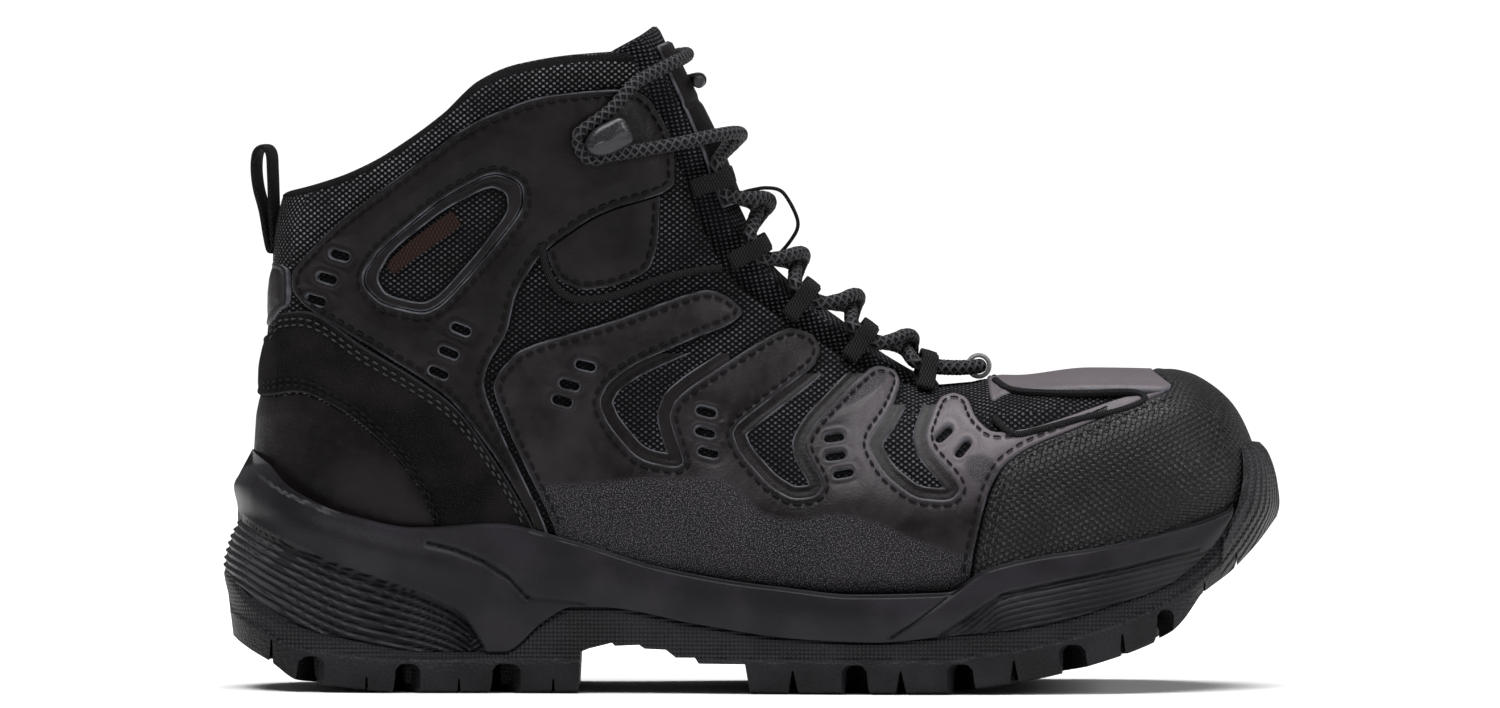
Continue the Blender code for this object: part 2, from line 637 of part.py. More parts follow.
def build_inside(skin, made, steel, board_stuff, counter_stuff, strip_stuff):
    cap = skin.clipped(cap_edge(skin))
    cap = cap.clipped((cap.normals[:, 2] + 0.93) * 30.0).largest()
    made["steel_toe_cap"] = slab("steel_toe_cap", cap, *STIFFENER, steel)
    strip = skin.clipped(-cap_edge(skin) - GAP)
    strip = strip.clipped(cap_edge(strip) + 6.0)
    strip = strip.clipped((strip.normals[:, 2] + 0.60) * 30.0).largest()
    made["cap_edge_strip"] = slab("cap_edge_strip", strip, *STIFFENER, strip_stuff)
    counter = skin.clipped(smoothstep((-60.0 - skin.x) / 60.0) * 62.0 + 36.0 - skin.z)
    counter = counter.clipped(-72.0 - counter.x)
    counter = counter.clipped((counter.normals[:, 2] + 0.60) * 30.0).largest()
    made["heel_counter"] = slab("heel_counter", counter, *STIFFENER, counter_stuff)
    under = skin.clipped((-0.74 - skin.normals[:, 2]) * 30.0)
    board = under.clipped(92.0 - under.x).largest()
    made["insole_board"] = slab("insole_board", board, *BOARD, board_stuff)
    shank = under.clipped(12.5 - np.abs(under.y - lean(under.x)))
    shank = shank.clipped(12.0 - shank.x)
    shank = shank.clipped(shank.x + 88.0).largest()
    made["shank_plate"] = slab("shank_plate", shank, *SHANK, steel)


def build_footbed(skin, made, foam):
    under = skin.clipped((-0.86 - skin.normals[:, 2]) * 30.0)
    bed = under.clipped(118.0 - under.x).largest()
    origin = footbed_axis()
    made["footbed"] = slab("footbed", bed, *FOOTBED, foam, origin)


def footbed_axis():
    return (112.0, 2.0, 38.0)


def sole_loop(x0, low, high, levels, across, grow=0.0):
    """Closed loop round the sole at one station: bottom row, inner wall, top row, outer wall."""
    half = float(smooth_line(SOLE_HALF_WIDTH, x0)) + grow
    middle = float(lean(x0))
    at_back = float(smoothstep((-115.0 - x0) / 41.0))
    at_front = float(smoothstep((x0 - 118.0) / 38.0))

    def placed(share_y, z):
        x = x0 + at_back * float(smooth_line(SOLE_BACK, z)) + at_front * float(smooth_line(SOLE_FRONT, z))
        return (x, middle + share_y * half, z)

    shares = np.linspace(-1.0, 1.0, across)
    loop = [placed(s, low) for s in shares]
    for k in range(1, levels):
        t = k / levels
        loop.append(placed(1.0 + 0.022 * math.sin(math.pi * t), low + (high - low) * t))
    loop += [placed(s, high) for s in shares[::-1]]
    for k in range(1, levels):
        t = 1.0 - k / levels
        loop.append(placed(-1.0 - 0.022 * math.sin(math.pi * t), low + (high - low) * t))
    return loop


def sole_stations():
    """Stations along the sole, closer together round its two ends."""
    back, front = SOLE_HALF_WIDTH[0][0], SOLE_HALF_WIDTH[-1][0]
    near = np.array((0.0, 0.6, 1.8, 3.8, 6.8, 11.0, 16.5))
    middle = np.linspace(back + 23.5, front - 23.5, SOLE_STATIONS)
    return np.concatenate((back + near, middle, (front - near)[::-1]))


def loft(name, loops, made_of):
    ring = len(loops[0])
    points = [p for loop in loops for p in loop]
    faces = []
    for i in range(len(loops) - 1):
        for j in range(ring):
            k = (j + 1) % ring
            faces.append((i * ring + j, (i + 1) * ring + j, (i + 1) * ring + k, i * ring + k))
    faces.append(tuple(range(ring)))
    faces.append(tuple((len(loops) - 1) * ring + j for j in reversed(range(ring))))
    return new_object(name, points, facing_out(points, faces), made_of)


def upper_plug(skin):
    """Closed solid of the upper's outside with its clearance, which the sole parts are cut with."""
    points = skin.points + skin.normals * SOLE_CLEARANCE
    ring = 2 * RING_STEPS
    faces = [tuple(face) for face in skin.faces]
    for start in (0, SECTION_STEPS * ring):
        rim = [start + j for j in range(ring)]
        a, b, c = points[rim[0]], points[rim[ring // 3]], points[rim[2 * ring // 3]]
        facing = np.cross(b - a, c - a)
        outward = points[rim].mean(axis=0) - points.mean(axis=0)
        if np.dot(facing, outward) < 0:
            rim.reverse()
        faces.append(tuple(rim))
    return new_object("upper_plug", points, facing_out(points, faces), material("plug", BLACK, 0.5))


def prism_across(name, outline, half, shift=0.0):
    """Side-view outline made solid across the boot."""
    count = len(outline)
    points = [(x, shift - half, z) for x, z in outline]
    points += [(x, shift + half, z) for x, z in outline]
    faces = [tuple(range(count)), tuple(reversed(range(count, 2 * count)))]
    for i in range(count):
        k = (i + 1) % count
        faces.append((i, i + count, k + count, k))
    return new_object(name, points, facing_out(points, faces), material(name, BLACK, 0.5))


def zigzag_groove(name, x, half_x, top, depth_below, span=62.0, wave=4.0, steps=4):
    """Groove across the tread that runs in a zigzag, as a cutter."""
    ys = np.linspace(-span, span, steps * 2 + 1)
    points = []
    faces = []
    for i, y in enumerate(ys):
        sway = wave if i % 2 else -wave
        slope = 0.22 * half_x
        points += [(x + sway - half_x - slope, y, -depth_below), (x + sway + half_x + slope, y, -depth_below),
                   (x + sway + half_x, y, top), (x + sway - half_x, y, top)]
    for i in range(len(ys) - 1):
        a = 4 * i
        b = a + 4
        for j in range(4):
            k = (j + 1) % 4
            faces.append((a + j, b + j, b + k, a + k))
    faces.append((0, 1, 2, 3))
    last = 4 * (len(ys) - 1)
    faces.append((last + 3, last + 2, last + 1, last))
    return new_object(name, points, facing_out(points, faces), material(name, BLACK, 0.5))


def build_sole(made, plug, foam, rubber):
    stations = sole_stations()
    loops = []
    for x in stations[stations < MIDSOLE_FRONT]:
        low = float(smooth_line(TREAD_TOP, x)) + 0.2
        high = max(float(smooth_line(SOLE_SEAM, x)), low + 0.6)
        loops.append(sole_loop(x, low, high, 4, 5))
    midsole = loft("midsole", loops, foam)
    boolean(midsole, plug)
    made["midsole"] = midsole
    loops = []
    for x in stations:
        low = float(smooth_line(GROUND, x))
        high = max(float(smooth_line(TREAD_TOP, x)) - 0.2, low + 4.0)
        loops.append(sole_loop(x, low, high, 4, 5, 0.6))
    outsole = loft("outsole", loops, rubber)
    boolean(outsole, plug)
    for number, (x, width) in enumerate(CROSS_GROOVES):
        top = float(smooth_line(GROUND, x)) + LUG_DEPTH
        boolean(outsole, zigzag_groove("cross_groove_%d" % number, x, width / 2, top, 6.0))
    for number, (x, width) in enumerate(NOTCHES):
        top = float(smooth_line(GROUND, x)) + LUG_DEPTH * 0.8
        boolean(outsole, zigzag_groove("lug_notch_%d" % number, x, width / 2, top, 6.0, 62.0, 2.0, 3))
    start, end, height = WAIST
    outline = ((start, -5), (end, -5), (end - 3, 8.6), (end - 22, 8.8), (start + 12, 14.5),
               (start + 1, height + 2))
    boolean(outsole, prism_across("waist_cut", outline, 70.0))
    made["outsole"] = outsole


def place_at_height(run, side, height):
    """The section whose surface point at this run from the centre line has the given height."""
    low = 0.0
    high = 4.0
    for _ in range(24):
        middle = (low + high) / 2.0
        if upper_point(middle, run, side)[2] > height:
            low = middle
        else:
            high = middle
    return low


def tongue_columns(place):
    """Runs from the centre line and outer faces of one row of the tongue."""
    half = float(smooth_line(THROAT_HALF, place))
    full = max(half - 9.0, 3.0)
    inner = min(BADGE_HALF, full * 0.85)
    return ((0.0, TONGUE_FRONT), (inner / 2, TONGUE_FRONT), (inner, TONGUE_FRONT), (full, TONGUE_FRONT - 0.2),
            (full + 4.0, -2.6), (half - 1.5, TONGUE_SIDE), (half + 6.5, TONGUE_SIDE))


def grid_solid(name, front, back, made_of, origin):
    """Closed solid from two grids of points, rows by columns."""
    rows, columns = front.shape[:2]
    points = np.vstack((front.reshape(-1, 3), back.reshape(-1, 3)))
    count = rows * columns
    faces = []
    for i in range(rows - 1):
        for j in range(columns - 1):
            a = i * columns + j
            quad = (a, a + 1, a + columns + 1, a + columns)
            faces.append(quad[:3])
            faces.append((quad[0], quad[2], quad[3]))
            faces.append((count + quad[2], count + quad[1], count + quad[0]))
            faces.append((count + quad[3], count + quad[2], count + quad[0]))
    rim = [j for j in range(columns)]
    rim += [i * columns + columns - 1 for i in range(1, rows)]
    rim += [(rows - 1) * columns + j for j in reversed(range(columns - 1))]
    rim += [i * columns for i in reversed(range(1, rows - 1))]
    for a, b in zip(rim, rim[1:] + rim[:1]):
        faces.append((b, a, a + count, b + count))
    return new_object(name, points, facing_out(points, faces), made_of, origin)


def build_tongue(made, cloth, leather, webbing):
    origin = (TONGUE_ROOT[0], 0.0, TONGUE_ROOT[1])
    front = []
    back = []
    for row in range(TONGUE_ROWS + 1):
        share = row / TONGUE_ROWS
        thick = TONGUE_THICK * min(1.0, 0.45 + 5.0 * share)
        line_front = []
        line_back = []
        for side in (-1, 1):
            half_front = []
            half_back = []
            for k in range(7):
                top_run = tongue_columns(0.6)[k][0]
                top = place_at_height(top_run, side, TONGUE_PEAK - 0.0085 * top_run ** 2)
                place = top + (TONGUE_ROOT_PLACE - top) * share
                run, height = tongue_columns(place)[k]
                edge = 0.45 if k == 6 else 1.0
                half_front.append(spot(place, run, side, height))
                half_back.append(spot(place, run, side, height - thick * edge))
            if side < 0:
                line_front += half_front[::-1]
                line_back += half_back[::-1]
            else:
                line_front += half_front[1:]
                line_back += half_back[1:]
        front.append(line_front)
        back.append(line_back)
    made["tongue_pad"] = grid_solid("tongue_pad", np.array(front), np.array(back), cloth, origin)
    build_badge(made, leather, origin)
    middle = np.array([spot(place, 0.0, 1, height) for place, height in KEEPER_PATH])[:, (0, 2)]
    heading = np.gradient(middle, axis=0)
    heading /= np.linalg.norm(heading, axis=1, keepdims=True)
    across = np.stack((heading[:, 1], -heading[:, 0]), axis=1) * 0.5
    outline = np.vstack((middle + across, (middle - across)[::-1]))
    made["tongue_keeper"] = strap_plate("tongue_keeper", outline, KEEPER_HALF, webbing, origin)


def build_badge(made, leather, origin):
    front = []
    back = []
    lowest = TONGUE_FRONT + GAP + 0.2
    top = place_at_height(0.0, 1, TONGUE_PEAK)
    for row in range(TONGUE_ROWS + 1):
        place = top + (TONGUE_ROOT_PLACE - top) * row / TONGUE_ROWS
        if BADGE_PLACES[0] < place < BADGE_PLACES[1]:
            runs = ((-1, BADGE_HALF), (-1, BADGE_HALF / 2), (1, 0.0), (1, BADGE_HALF / 2), (1, BADGE_HALF))
            front.append([spot(place, run, side, lowest + 1.1) for side, run in runs])
            back.append([spot(place, run, side, lowest) for side, run in runs])
    made["tongue_badge"] = grid_solid("tongue_badge", np.array(front), np.array(back), leather, origin)


def strap_plate(name, outline, half, made_of, origin):
    count = len(outline)
    shift = float(lean(outline[0][0]))
    outline = [(float(x), float(z)) for x, z in outline]
    points = [(x, shift - half, z) for x, z in outline] + [(x, shift + half, z) for x, z in outline]
    faces = [tuple(reversed(range(count))), tuple(range(count, 2 * count))]
    for i in range(count):
        k = (i + 1) % count
        faces.append((i, k, k + count, i + count))
    return new_object(name, points, facing_out(points, faces), made_of, origin)


def band(name, path, thick, half, frame, made_of, origin=(0.0, 0.0, 0.0)):
    """Closed webbing band: a loop in the plane of the first two frame axes, wide along the third."""
    centre, axis_a, axis_b, axis_w = (np.array(v, dtype=float) for v in frame)
    path = np.array(path, dtype=float)
    tangent = np.roll(path, -1, axis=0) - np.roll(path, 1, axis=0)
    tangent /= np.linalg.norm(tangent, axis=1, keepdims=True)
    normal = np.stack((tangent[:, 1], -tangent[:, 0]), axis=1)
    points = []
    for p, n in zip(path, normal):
        for s, w in ((0.5, -1), (0.5, 1), (-0.5, 1), (-0.5, -1)):
            q = p + n * thick * s
            points.append(centre + axis_a * q[0] + axis_b * q[1] + axis_w * half * w)
    faces = []
    count = len(path)
    for i in range(count):
        k = (i + 1) % count
        for j in range(4):
            m = (j + 1) % 4
            faces.append((4 * i + j, 4 * k + j, 4 * k + m, 4 * i + m))
    return new_object(name, points, facing_out(points, faces), made_of, origin)


def smooth_path(points, steps, closed=False):
    """Catmull-Rom curve through the points."""
    points = np.array(points, dtype=float)
    count = len(points)
    out = []
    last = count if closed else count - 1
    for i in range(last):
        if closed:
            p0, p1, p2, p3 = (points[(i + k) % count] for k in (-1, 0, 1, 2))
        else:
            p0, p1, p2, p3 = (points[min(max(i + k, 0), count - 1)] for k in (-1, 0, 1, 2))
        for k in range(steps):
            t = k / steps
            out.append(0.5 * (2 * p1 + (p2 - p0) * t + (2 * p0 - 5 * p1 + 4 * p2 - p3) * t * t
                              + (3 * p1 - p0 - 3 * p2 + p3) * t ** 3))
    if not closed:
        out.append(points[-1])
    return np.array(out)


def build_pull_loop(made, webbing):
    keys = ((-140.4, 128.4), (-142.6, 131.5), (-145.2, 139.0), (-146.4, 148.0), (-145.2, 156.0),
            (-142.2, 159.2), (-139.4, 156.4), (-138.7, 148.0), (-139.0, 139.0), (-139.2, 131.5))
    path = smooth_path(keys, 3, closed=True)
    frame = ((0, 0, 0), (1, 0, 0), (0, 0, 1), (0, 1, 0))
    made["heel_pull_loop"] = band("heel_pull_loop", path, 1.3, 5.5, frame, webbing, (-140.4, 0.0, 127.6))


def locate(x, z, skin_points, places, runs):
    """Section and run of the outer side's surface point seen at a side-view place."""
    distance = (skin_points[:, 0] - x) ** 2 + (skin_points[:, 2] - z) ** 2
    best = int(np.argmin(distance))
    return float(places[best]), float(abs(runs[best]))


def dense_outer_side():
    dense = make_skin(200, 120)
    outer = (dense.run < 0) & (dense.z > 60)
    return dense.points[outer], dense.place[outer], dense.run[outer]


def spot(place, run, side, height):
    return upper_point(place, run, side) + upper_normal(place, run, side) * height


def crossing(start, end, side, height, steps=7):
    """Points of a lace strand from one side to the other over the tongue, without its two ends."""
    points = []
    for k in range(1, steps):
        t = k / steps
        place = start[0] + (end[0] - start[0]) * t
        run = start[1] * (1 - t) - end[1] * t
        lift = start[2] * (1 - t) + end[2] * t
        lift = lift + (height - lift) * math.sin(math.pi * t) ** 0.7
        points.append(spot(place, abs(run), side if run > 0 else -side, lift))
    return points


def step_along(place, run, distance):
    """Change of section number for a distance along the boot."""
    low = upper_point(place - 0.1, run, 1)
    high = upper_point(place + 0.1, run, 1)
    return distance * 0.2 / np.linalg.norm(high - low)


def through_loop(loop, side):
    step = step_along(*loop, 4.6)
    return [spot(loop[0] + shift, loop[1], side, LACE_AT_LOOP) for shift in (step, 0.0, -step)]


def round_hook(side, found):
    """Lace points that pass below the hook's neck, behind it and on up."""
    points = []
    for degrees in (-45, -80, -115, -150, 175, 140):
        angle = math.radians(degrees)
        x = HOOK_PLACE[0] + HOOK_TURN * math.cos(angle)
        z = HOOK_PLACE[1] + HOOK_TURN * math.sin(angle)
        points.append(spot(*locate(x, z, *found), side, LACE_AT_HOOK))
    return points


def half_lace(first_side, found):
    """Lace from the ring at the bottom of the throat up one zigzag, round its hook."""
    points = []
    side = first_side
    for level in reversed(range(len(LOOPS))):
        points += through_loop(LOOPS[level], side)
        low = (first_side < 0) == (level % 2 == 0)
        start = (LOOPS[level][0] - step_along(*LOOPS[level], 7.0), LOOPS[level][1] - 1.5, LACE_AT_LOOP)
        if level > 0:
            above = LOOPS[level - 1]
            end = (above[0] + step_along(*above, 7.0), above[1] - 1.5, LACE_AT_LOOP)
        else:
            place, run = locate(HOOK_PLACE[0] + 11.0, HOOK_PLACE[1] - 3.6, *found)
            end = (place, run, LACE_AT_HOOK)
        points += crossing(start, end, side, LACE_LOW if low else LACE_HIGH)
        side = -side
    return points + round_hook(side, found), side


def on_side(places, side, found):
    return [spot(*locate(x, z, *found), side, LACE_AT_HOOK) for x, z in places]


def lace_path(found):
    right, right_side = half_lace(-1, found)
    left, left_side = half_lace(1, found)
    near = locate(-28.5, 180.6, *found)
    far = locate(-31.0, 181.6, *found)
    over = crossing((near[0], near[1], LACE_AT_HOOK), (far[0], far[1], LACE_AT_HOOK), left_side, LACE_LOW)
    left += on_side(((-43.5, 169.0), (-36.5, 176.0), (-28.5, 180.6)), left_side, found) + over
    left += on_side(((-37.0, 179.0), (-43.0, 176.4)), -left_side, found)
    near = locate(-27.5, 174.0, *found)
    far = locate(-21.5, 174.6, *found)
    short = crossing((near[0], near[1], LACE_AT_HOOK), (far[0], far[1] - 4.0, LACE_LOW), right_side, LACE_LOW)
    right += on_side(((-44.0, 167.6), (-36.5, 171.6), (-27.5, 174.0)), right_side, found) + short
    ring_runs = ((-1, 8.4, -0.24), (-1, 4.2, 0.0), (1, 0.0, 0.0), (1, 4.2, 0.0), (1, 8.4, -0.24))
    bottom = [spot(RING_PLACE + shift, run, side, LACE_AT_HOOK) for side, run, shift in ring_runs]
    return right[::-1] + bottom + left


def tube(name, path, radius, sides, made_of):
    """Round cord along a path, its ends closed."""
    path = np.array(path, dtype=float)
    heading = np.gradient(path, axis=0)
    heading /= np.linalg.norm(heading, axis=1, keepdims=True)
    across = np.cross(heading[0], (0.3, 0.2, 1.0))
    across /= np.linalg.norm(across)
    points = []
    for place, ahead in zip(path, heading):
        across = across - ahead * np.dot(across, ahead)
        across /= np.linalg.norm(across)
        up = np.cross(ahead, across)
        for k in range(sides):
            angle = 2.0 * math.pi * k / sides
            points.append(place + radius * (across * math.cos(angle) + up * math.sin(angle)))
    faces = []
    for i in range(len(path) - 1):
        for j in range(sides):
            k = (j + 1) % sides
            faces.append((i * sides + j, i * sides + k, (i + 1) * sides + k, (i + 1) * sides + j))
    faces.append(tuple(reversed(range(sides))))
    faces.append(tuple((len(path) - 1) * sides + j for j in range(sides)))
    return new_object(name, points, facing_out(points, faces), made_of)


def thinned(points, within):
    """The path with points left out where a straight run stays within a distance of it."""
    keep = [0]
    start = 0
    while start < len(points) - 1:
        end = start + 1
        while end + 1 < len(points):
            a = points[start]
            b = points[end + 1]
            run = b - a
            span = max(np.dot(run, run), 1e-9)
            between = points[start:end + 2]
            share = np.clip((between - a) @ run / span, 0.0, 1.0)
            off = np.linalg.norm(between - a - share[:, None] * run, axis=1).max()
            if off > within or span > 144.0:
                break
            end += 1
        keep.append(end)
        start = end
    return points[keep]


def build_lacing(made, lace_stuff, webbing, hook_stuff, aglet_stuff, grey):
    found = dense_outer_side()
    path = thinned(smooth_path(lace_path(found), 8), LACE_SAG)
    made["lace"] = tube("lace", path, LACE_RADIUS, LACE_SIDES, lace_stuff)
    ends = (("lace_aglet_lateral", path[0], path[1]), ("lace_aglet_medial", path[-1], path[-2]))
    for name, first, before in ends:
        away = (first - before) / np.linalg.norm(first - before)
        ends = [first + away * GAP, first + away * 8.0]
        made[name] = tube(name, ends, LACE_RADIUS * 0.85, 8, aglet_stuff)
    teardrop = [(LOOP_RADIUS * math.cos(math.radians(a)), LOOP_RADIUS * math.sin(math.radians(a)))
                for a in (-70, -35, 0, 35, 70, 105, 140)]
    teardrop += [(-5.4, 0.2), (-9.2, -2.3), (-9.7, -3.0), (-8.8, -3.5), (-4.0, -3.6)]
    hook = locate(*HOOK_PLACE, *found)
    for side, word in ((-1, "lateral"), (1, "medial")):
        for number, (place, run) in enumerate(LOOPS):
            centre = spot(place, run, side, LACE_AT_LOOP)
            normal = upper_normal(place, run, side)
            up = spot(place - 0.15, run, side, LACE_AT_LOOP) - spot(place + 0.15, run, side, LACE_AT_LOOP)
            up /= np.linalg.norm(up)
            normal = normal - up * np.dot(normal, up)
            normal /= np.linalg.norm(normal)
            inward = np.cross(up, normal)
            if inward[1] * side > 0:
                inward = -inward
            name = "lace_loop_%s_%d" % (word, number + 1)
            made[name] = band(name, teardrop, 0.8, LOOP_HALF, (centre, inward, normal, up), webbing)
        name = "speed_hook_" + word
        made[name] = speed_hook(name, hook, side, hook_stuff, found)
    ring_centre = spot(RING_PLACE, 0.0, 1, LACE_AT_HOOK)
    ring = [(3.15 * math.cos(a), 3.15 * math.sin(a)) for a in np.linspace(0, 2 * math.pi, 15)[:-1]]
    along = upper_point(RING_PLACE - 0.1, 0.0, 1) - upper_point(RING_PLACE + 0.1, 0.0, 1)
    along /= np.linalg.norm(along)
    normal = upper_normal(RING_PLACE, 0.5, 1)
    across = np.array((0.0, 1.0, 0.0))
    made["lace_ring"] = band("lace_ring", ring, 0.9, 3.0, (ring_centre, along, normal, across), grey)


def speed_hook(name, hook, side, made_of, found):
    """Foot, neck and bullet-shaped cap in one moulding."""
    centre = upper_point(hook[0], hook[1], side)
    normal = upper_normal(hook[0], hook[1], side)
    ahead = upper_point(*locate(HOOK_PLACE[0] + 8.0, HOOK_PLACE[1] + 3.4, *found), side) - centre
    ahead = ahead - normal * np.dot(ahead, normal)
    ahead /= np.linalg.norm(ahead)
    across = np.cross(normal, ahead)
    outline = [(10.2, -4.2), (10.8, 0.0), (10.2, 4.2), (6.0, 4.4), (1.5, 4.0), (-1.8, 2.6), (-3.4, 0.0),
               (-1.8, -2.6), (1.5, -4.0), (6.0, -4.4)]
    neck = [(2.0 * math.cos(a), 2.0 * math.sin(a)) for a in
            (-0.95, 0.0, 0.95, 1.35, 1.75, 2.4, math.pi, -2.4, -1.75, -1.35)]
    levels = ((neck, 1.5, THIN_OVERLAY[1] + 0.3), (neck, 1.45, 4.5), (neck, 1.0, 4.8), (neck, 1.0, 8.6),
              (outline, 0.92, 8.8), (outline, 1.0, 9.6), (outline, 1.0, 11.4), (outline, 0.86, 12.6))
    points = []
    for shape, scale, height in levels:
        for a, b in shape:
            points.append(centre + ahead * a * scale + across * b * scale + normal * height)
    count = len(outline)
    faces = []
    for i in range(len(levels) - 1):
        for j in range(count):
            k = (j + 1) % count
            faces.append((i * count + j, i * count + k, (i + 1) * count + k, (i + 1) * count + j))
    faces.append(tuple(reversed(range(count))))
    faces.append(tuple((len(levels) - 1) * count + j for j in range(count)))
    return new_object(name, points, facing_out(points, faces), made_of)


def main():
    clear_scene()
    made = {}
    skin = make_skin()
    inner_skin = make_skin(INNER_SECTION_STEPS, INNER_RING_STEPS)
    mesh_cloth = material("upper_mesh", MESH, 0.85)
    leather = material("leather_dark", LEATHER, 0.5)
    satin = material("leather_satin", SATIN_LEATHER, 0.42)
    suede = material("suede_band", LEATHER, 0.8)
    grip = material("toe_grip", BLACK, 0.6)
    patch_cloth = material("woven_patch", (0.05, 0.035, 0.028), 0.8)
    lining_cloth = material("lining_cloth", MESH, 0.9)
    steel = material("steel", (0.5, 0.5, 0.52), 0.35, 1.0)
    foam = material("midsole_foam", MIDSOLE_COLOUR, 0.45)
    rubber = material("outsole_rubber", RUBBER, 0.6)
    webbing = material("webbing", BLACK, 0.75)
    cord = material("lace_braid", MESH, 0.7)
    plastic = material("hook_plastic", BLACK, 0.35)
    grey = material("ring_plastic", (0.12, 0.12, 0.13), 0.5)
    board = material("board", (0.35, 0.27, 0.18), 0.9)
    counter = material("counter", (0.3, 0.3, 0.3), 0.7)
    strip = material("edge_strip", (0.06, 0.06, 0.06), 0.8)
    bed = material("footbed_foam", (0.05, 0.05, 0.055), 0.85)
    build_upper(skin, mesh_cloth, made)
    build_overlays(skin, made, leather, satin, suede, grip, patch_cloth)
    build_linings(inner_skin, made, lining_cloth, mesh_cloth)
    build_inside(inner_skin, made, steel, board, counter, strip)
    build_footbed(inner_skin, made, bed)
    build_sole(made, upper_plug(skin), foam, rubber)
    build_tongue(made, mesh_cloth, leather, webbing)
    build_pull_loop(made, webbing)
    build_lacing(made, cord, webbing, plastic, plastic, grey)


main()
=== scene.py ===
import math

import bpy
import numpy as np
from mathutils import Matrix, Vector
from mathutils.bvhtree import BVHTree


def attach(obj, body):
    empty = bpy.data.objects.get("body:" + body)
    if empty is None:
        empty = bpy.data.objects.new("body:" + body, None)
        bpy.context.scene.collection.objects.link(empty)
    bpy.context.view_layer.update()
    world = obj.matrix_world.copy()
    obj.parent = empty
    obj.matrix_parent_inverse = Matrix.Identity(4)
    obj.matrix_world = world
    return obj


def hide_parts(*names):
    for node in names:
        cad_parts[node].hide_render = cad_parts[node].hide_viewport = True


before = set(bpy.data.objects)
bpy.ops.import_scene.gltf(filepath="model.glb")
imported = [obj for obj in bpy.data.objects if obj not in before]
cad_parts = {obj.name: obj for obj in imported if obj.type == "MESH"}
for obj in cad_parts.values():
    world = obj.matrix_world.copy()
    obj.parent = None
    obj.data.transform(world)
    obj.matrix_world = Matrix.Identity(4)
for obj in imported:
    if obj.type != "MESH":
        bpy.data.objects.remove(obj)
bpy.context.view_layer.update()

MM = 0.001
# One row per cross-section: sole or heel point x z, instep or toe point x z,
# half width, place of the widest point, fullness below it, fullness above it.
SECTIONS = (
    (-133.5, 158.0, -33.0, 204.0, 39.5, 0.50, 2.2, 2.2),
    (-134.5, 143.0, -22.5, 181.0, 39.0, 0.50, 2.2, 2.2),
    (-137.5, 122.0, -12.5, 161.0, 37.5, 0.50, 2.2, 2.1),
    (-139.5, 100.0, -4.5, 141.0, 36.0, 0.48, 2.3, 2.1),
    (-142.0, 78.0, 4.0, 125.0, 35.5, 0.45, 2.3, 2.1),
    (-143.0, 56.0, 14.0, 115.5, 36.5, 0.42, 2.4, 2.1),
    (-128.0, 37.0, 27.0, 106.0, 36.5, 0.40, 2.8, 2.1),
    (-80.0, 35.0, 40.0, 95.8, 38.0, 0.35, 3.2, 2.1),
    (-30.0, 31.0, 57.0, 88.5, 42.0, 0.32, 3.4, 2.1),
    (20.0, 26.0, 78.0, 88.0, 47.0, 0.30, 3.5, 2.2),
    (60.0, 25.5, 100.0, 90.0, 49.5, 0.32, 3.5, 2.4),
    (90.0, 28.0, 122.0, 89.5, 47.5, 0.36, 3.3, 2.6),
    (108.0, 31.0, 138.0, 81.0, 43.5, 0.42, 3.0, 2.6),
    (120.0, 36.0, 145.5, 64.0, 34.0, 0.45, 2.6, 2.4),
    (128.0, 41.0, 147.8, 50.0, 24.5, 0.50, 2.4, 2.2),
)
FOOT_LEAN = ((-156, 0), (-80, 0), (-30, -1.8), (30, -2.1), (80, 0.4), (120, 3.6), (156, 6.4))
# Side-view lines, x z
COLLAR_LINE = ((-150, 145.4), (-136, 146.4), (-123, 149.6), (-112, 154.2), (-103, 159.6), (-91, 168.2),
               (-80, 178), (-68, 183), (-50, 186), (-20, 188))
SOLE_SEAM = ((-160, 72), (-148, 66), (-136, 58.5), (-118, 52), (-98, 48.2), (-75, 49.5), (-52, 44.5),
             (-27, 37), (-6, 33), (10, 31), (30, 29), (57, 29.6), (69, 36.5), (83, 40), (103, 43),
             (123, 47.8), (140, 53), (147, 66), (152, 72), (160, 73))
TREAD_TOP = ((-160, 38), (-155.8, 35.5), (-145, 24.6), (-131, 18.4), (-118, 15.5), (-94, 11.9),
             (-72, 11.9), (-60, 21), (-52, 25), (-44, 25), (-15, 20), (13, 16), (36, 15), (55, 16.6),
             (83, 19.6), (110, 27), (123, 31.6), (133, 37.8), (140, 46.6), (144, 58), (149, 71.5),
             (160, 72))
GROUND = ((-160, 18), (-150, 11.6), (-144, 8.6), (-135, 3.4), (-122, 1.6), (-103, 0), (-51, 0),
          (0, 0), (55, 0), (67, 1.6), (85, 4.6), (99, 8.1), (115, 13.4), (126, 19), (139, 28.5),
          (147, 34), (151, 40), (156, 50))
SOLE_HALF_WIDTH = ((-155.8, 2), (-154, 13), (-150, 22), (-140, 32), (-125, 39), (-105, 42),
                   (-75, 42.8), (-30, 45), (10, 49.5), (45, 53.8), (75, 55.4), (100, 53.8), (120, 48.8),
                   (134, 42.5), (145, 33), (152, 20.5), (156, 2))
SOLE_BACK = ((0, 5), (20, 3.2), (36, 0), (44, 1.8), (52, 5.3), (59, 5.4), (66, 7.9))
SOLE_FRONT = ((28, -12), (38, -5.8), (47, -1.8), (54, 0), (61, -0.8), (69, -3.4), (73, -7))
# Half width of the throat, measured round the upper, by section
THROAT_HALF = ((0, 29), (1, 27), (3, 25), (5, 22), (7, 18), (8, 14.5), (8.4, 9.5), (8.75, 0), (9, -10))
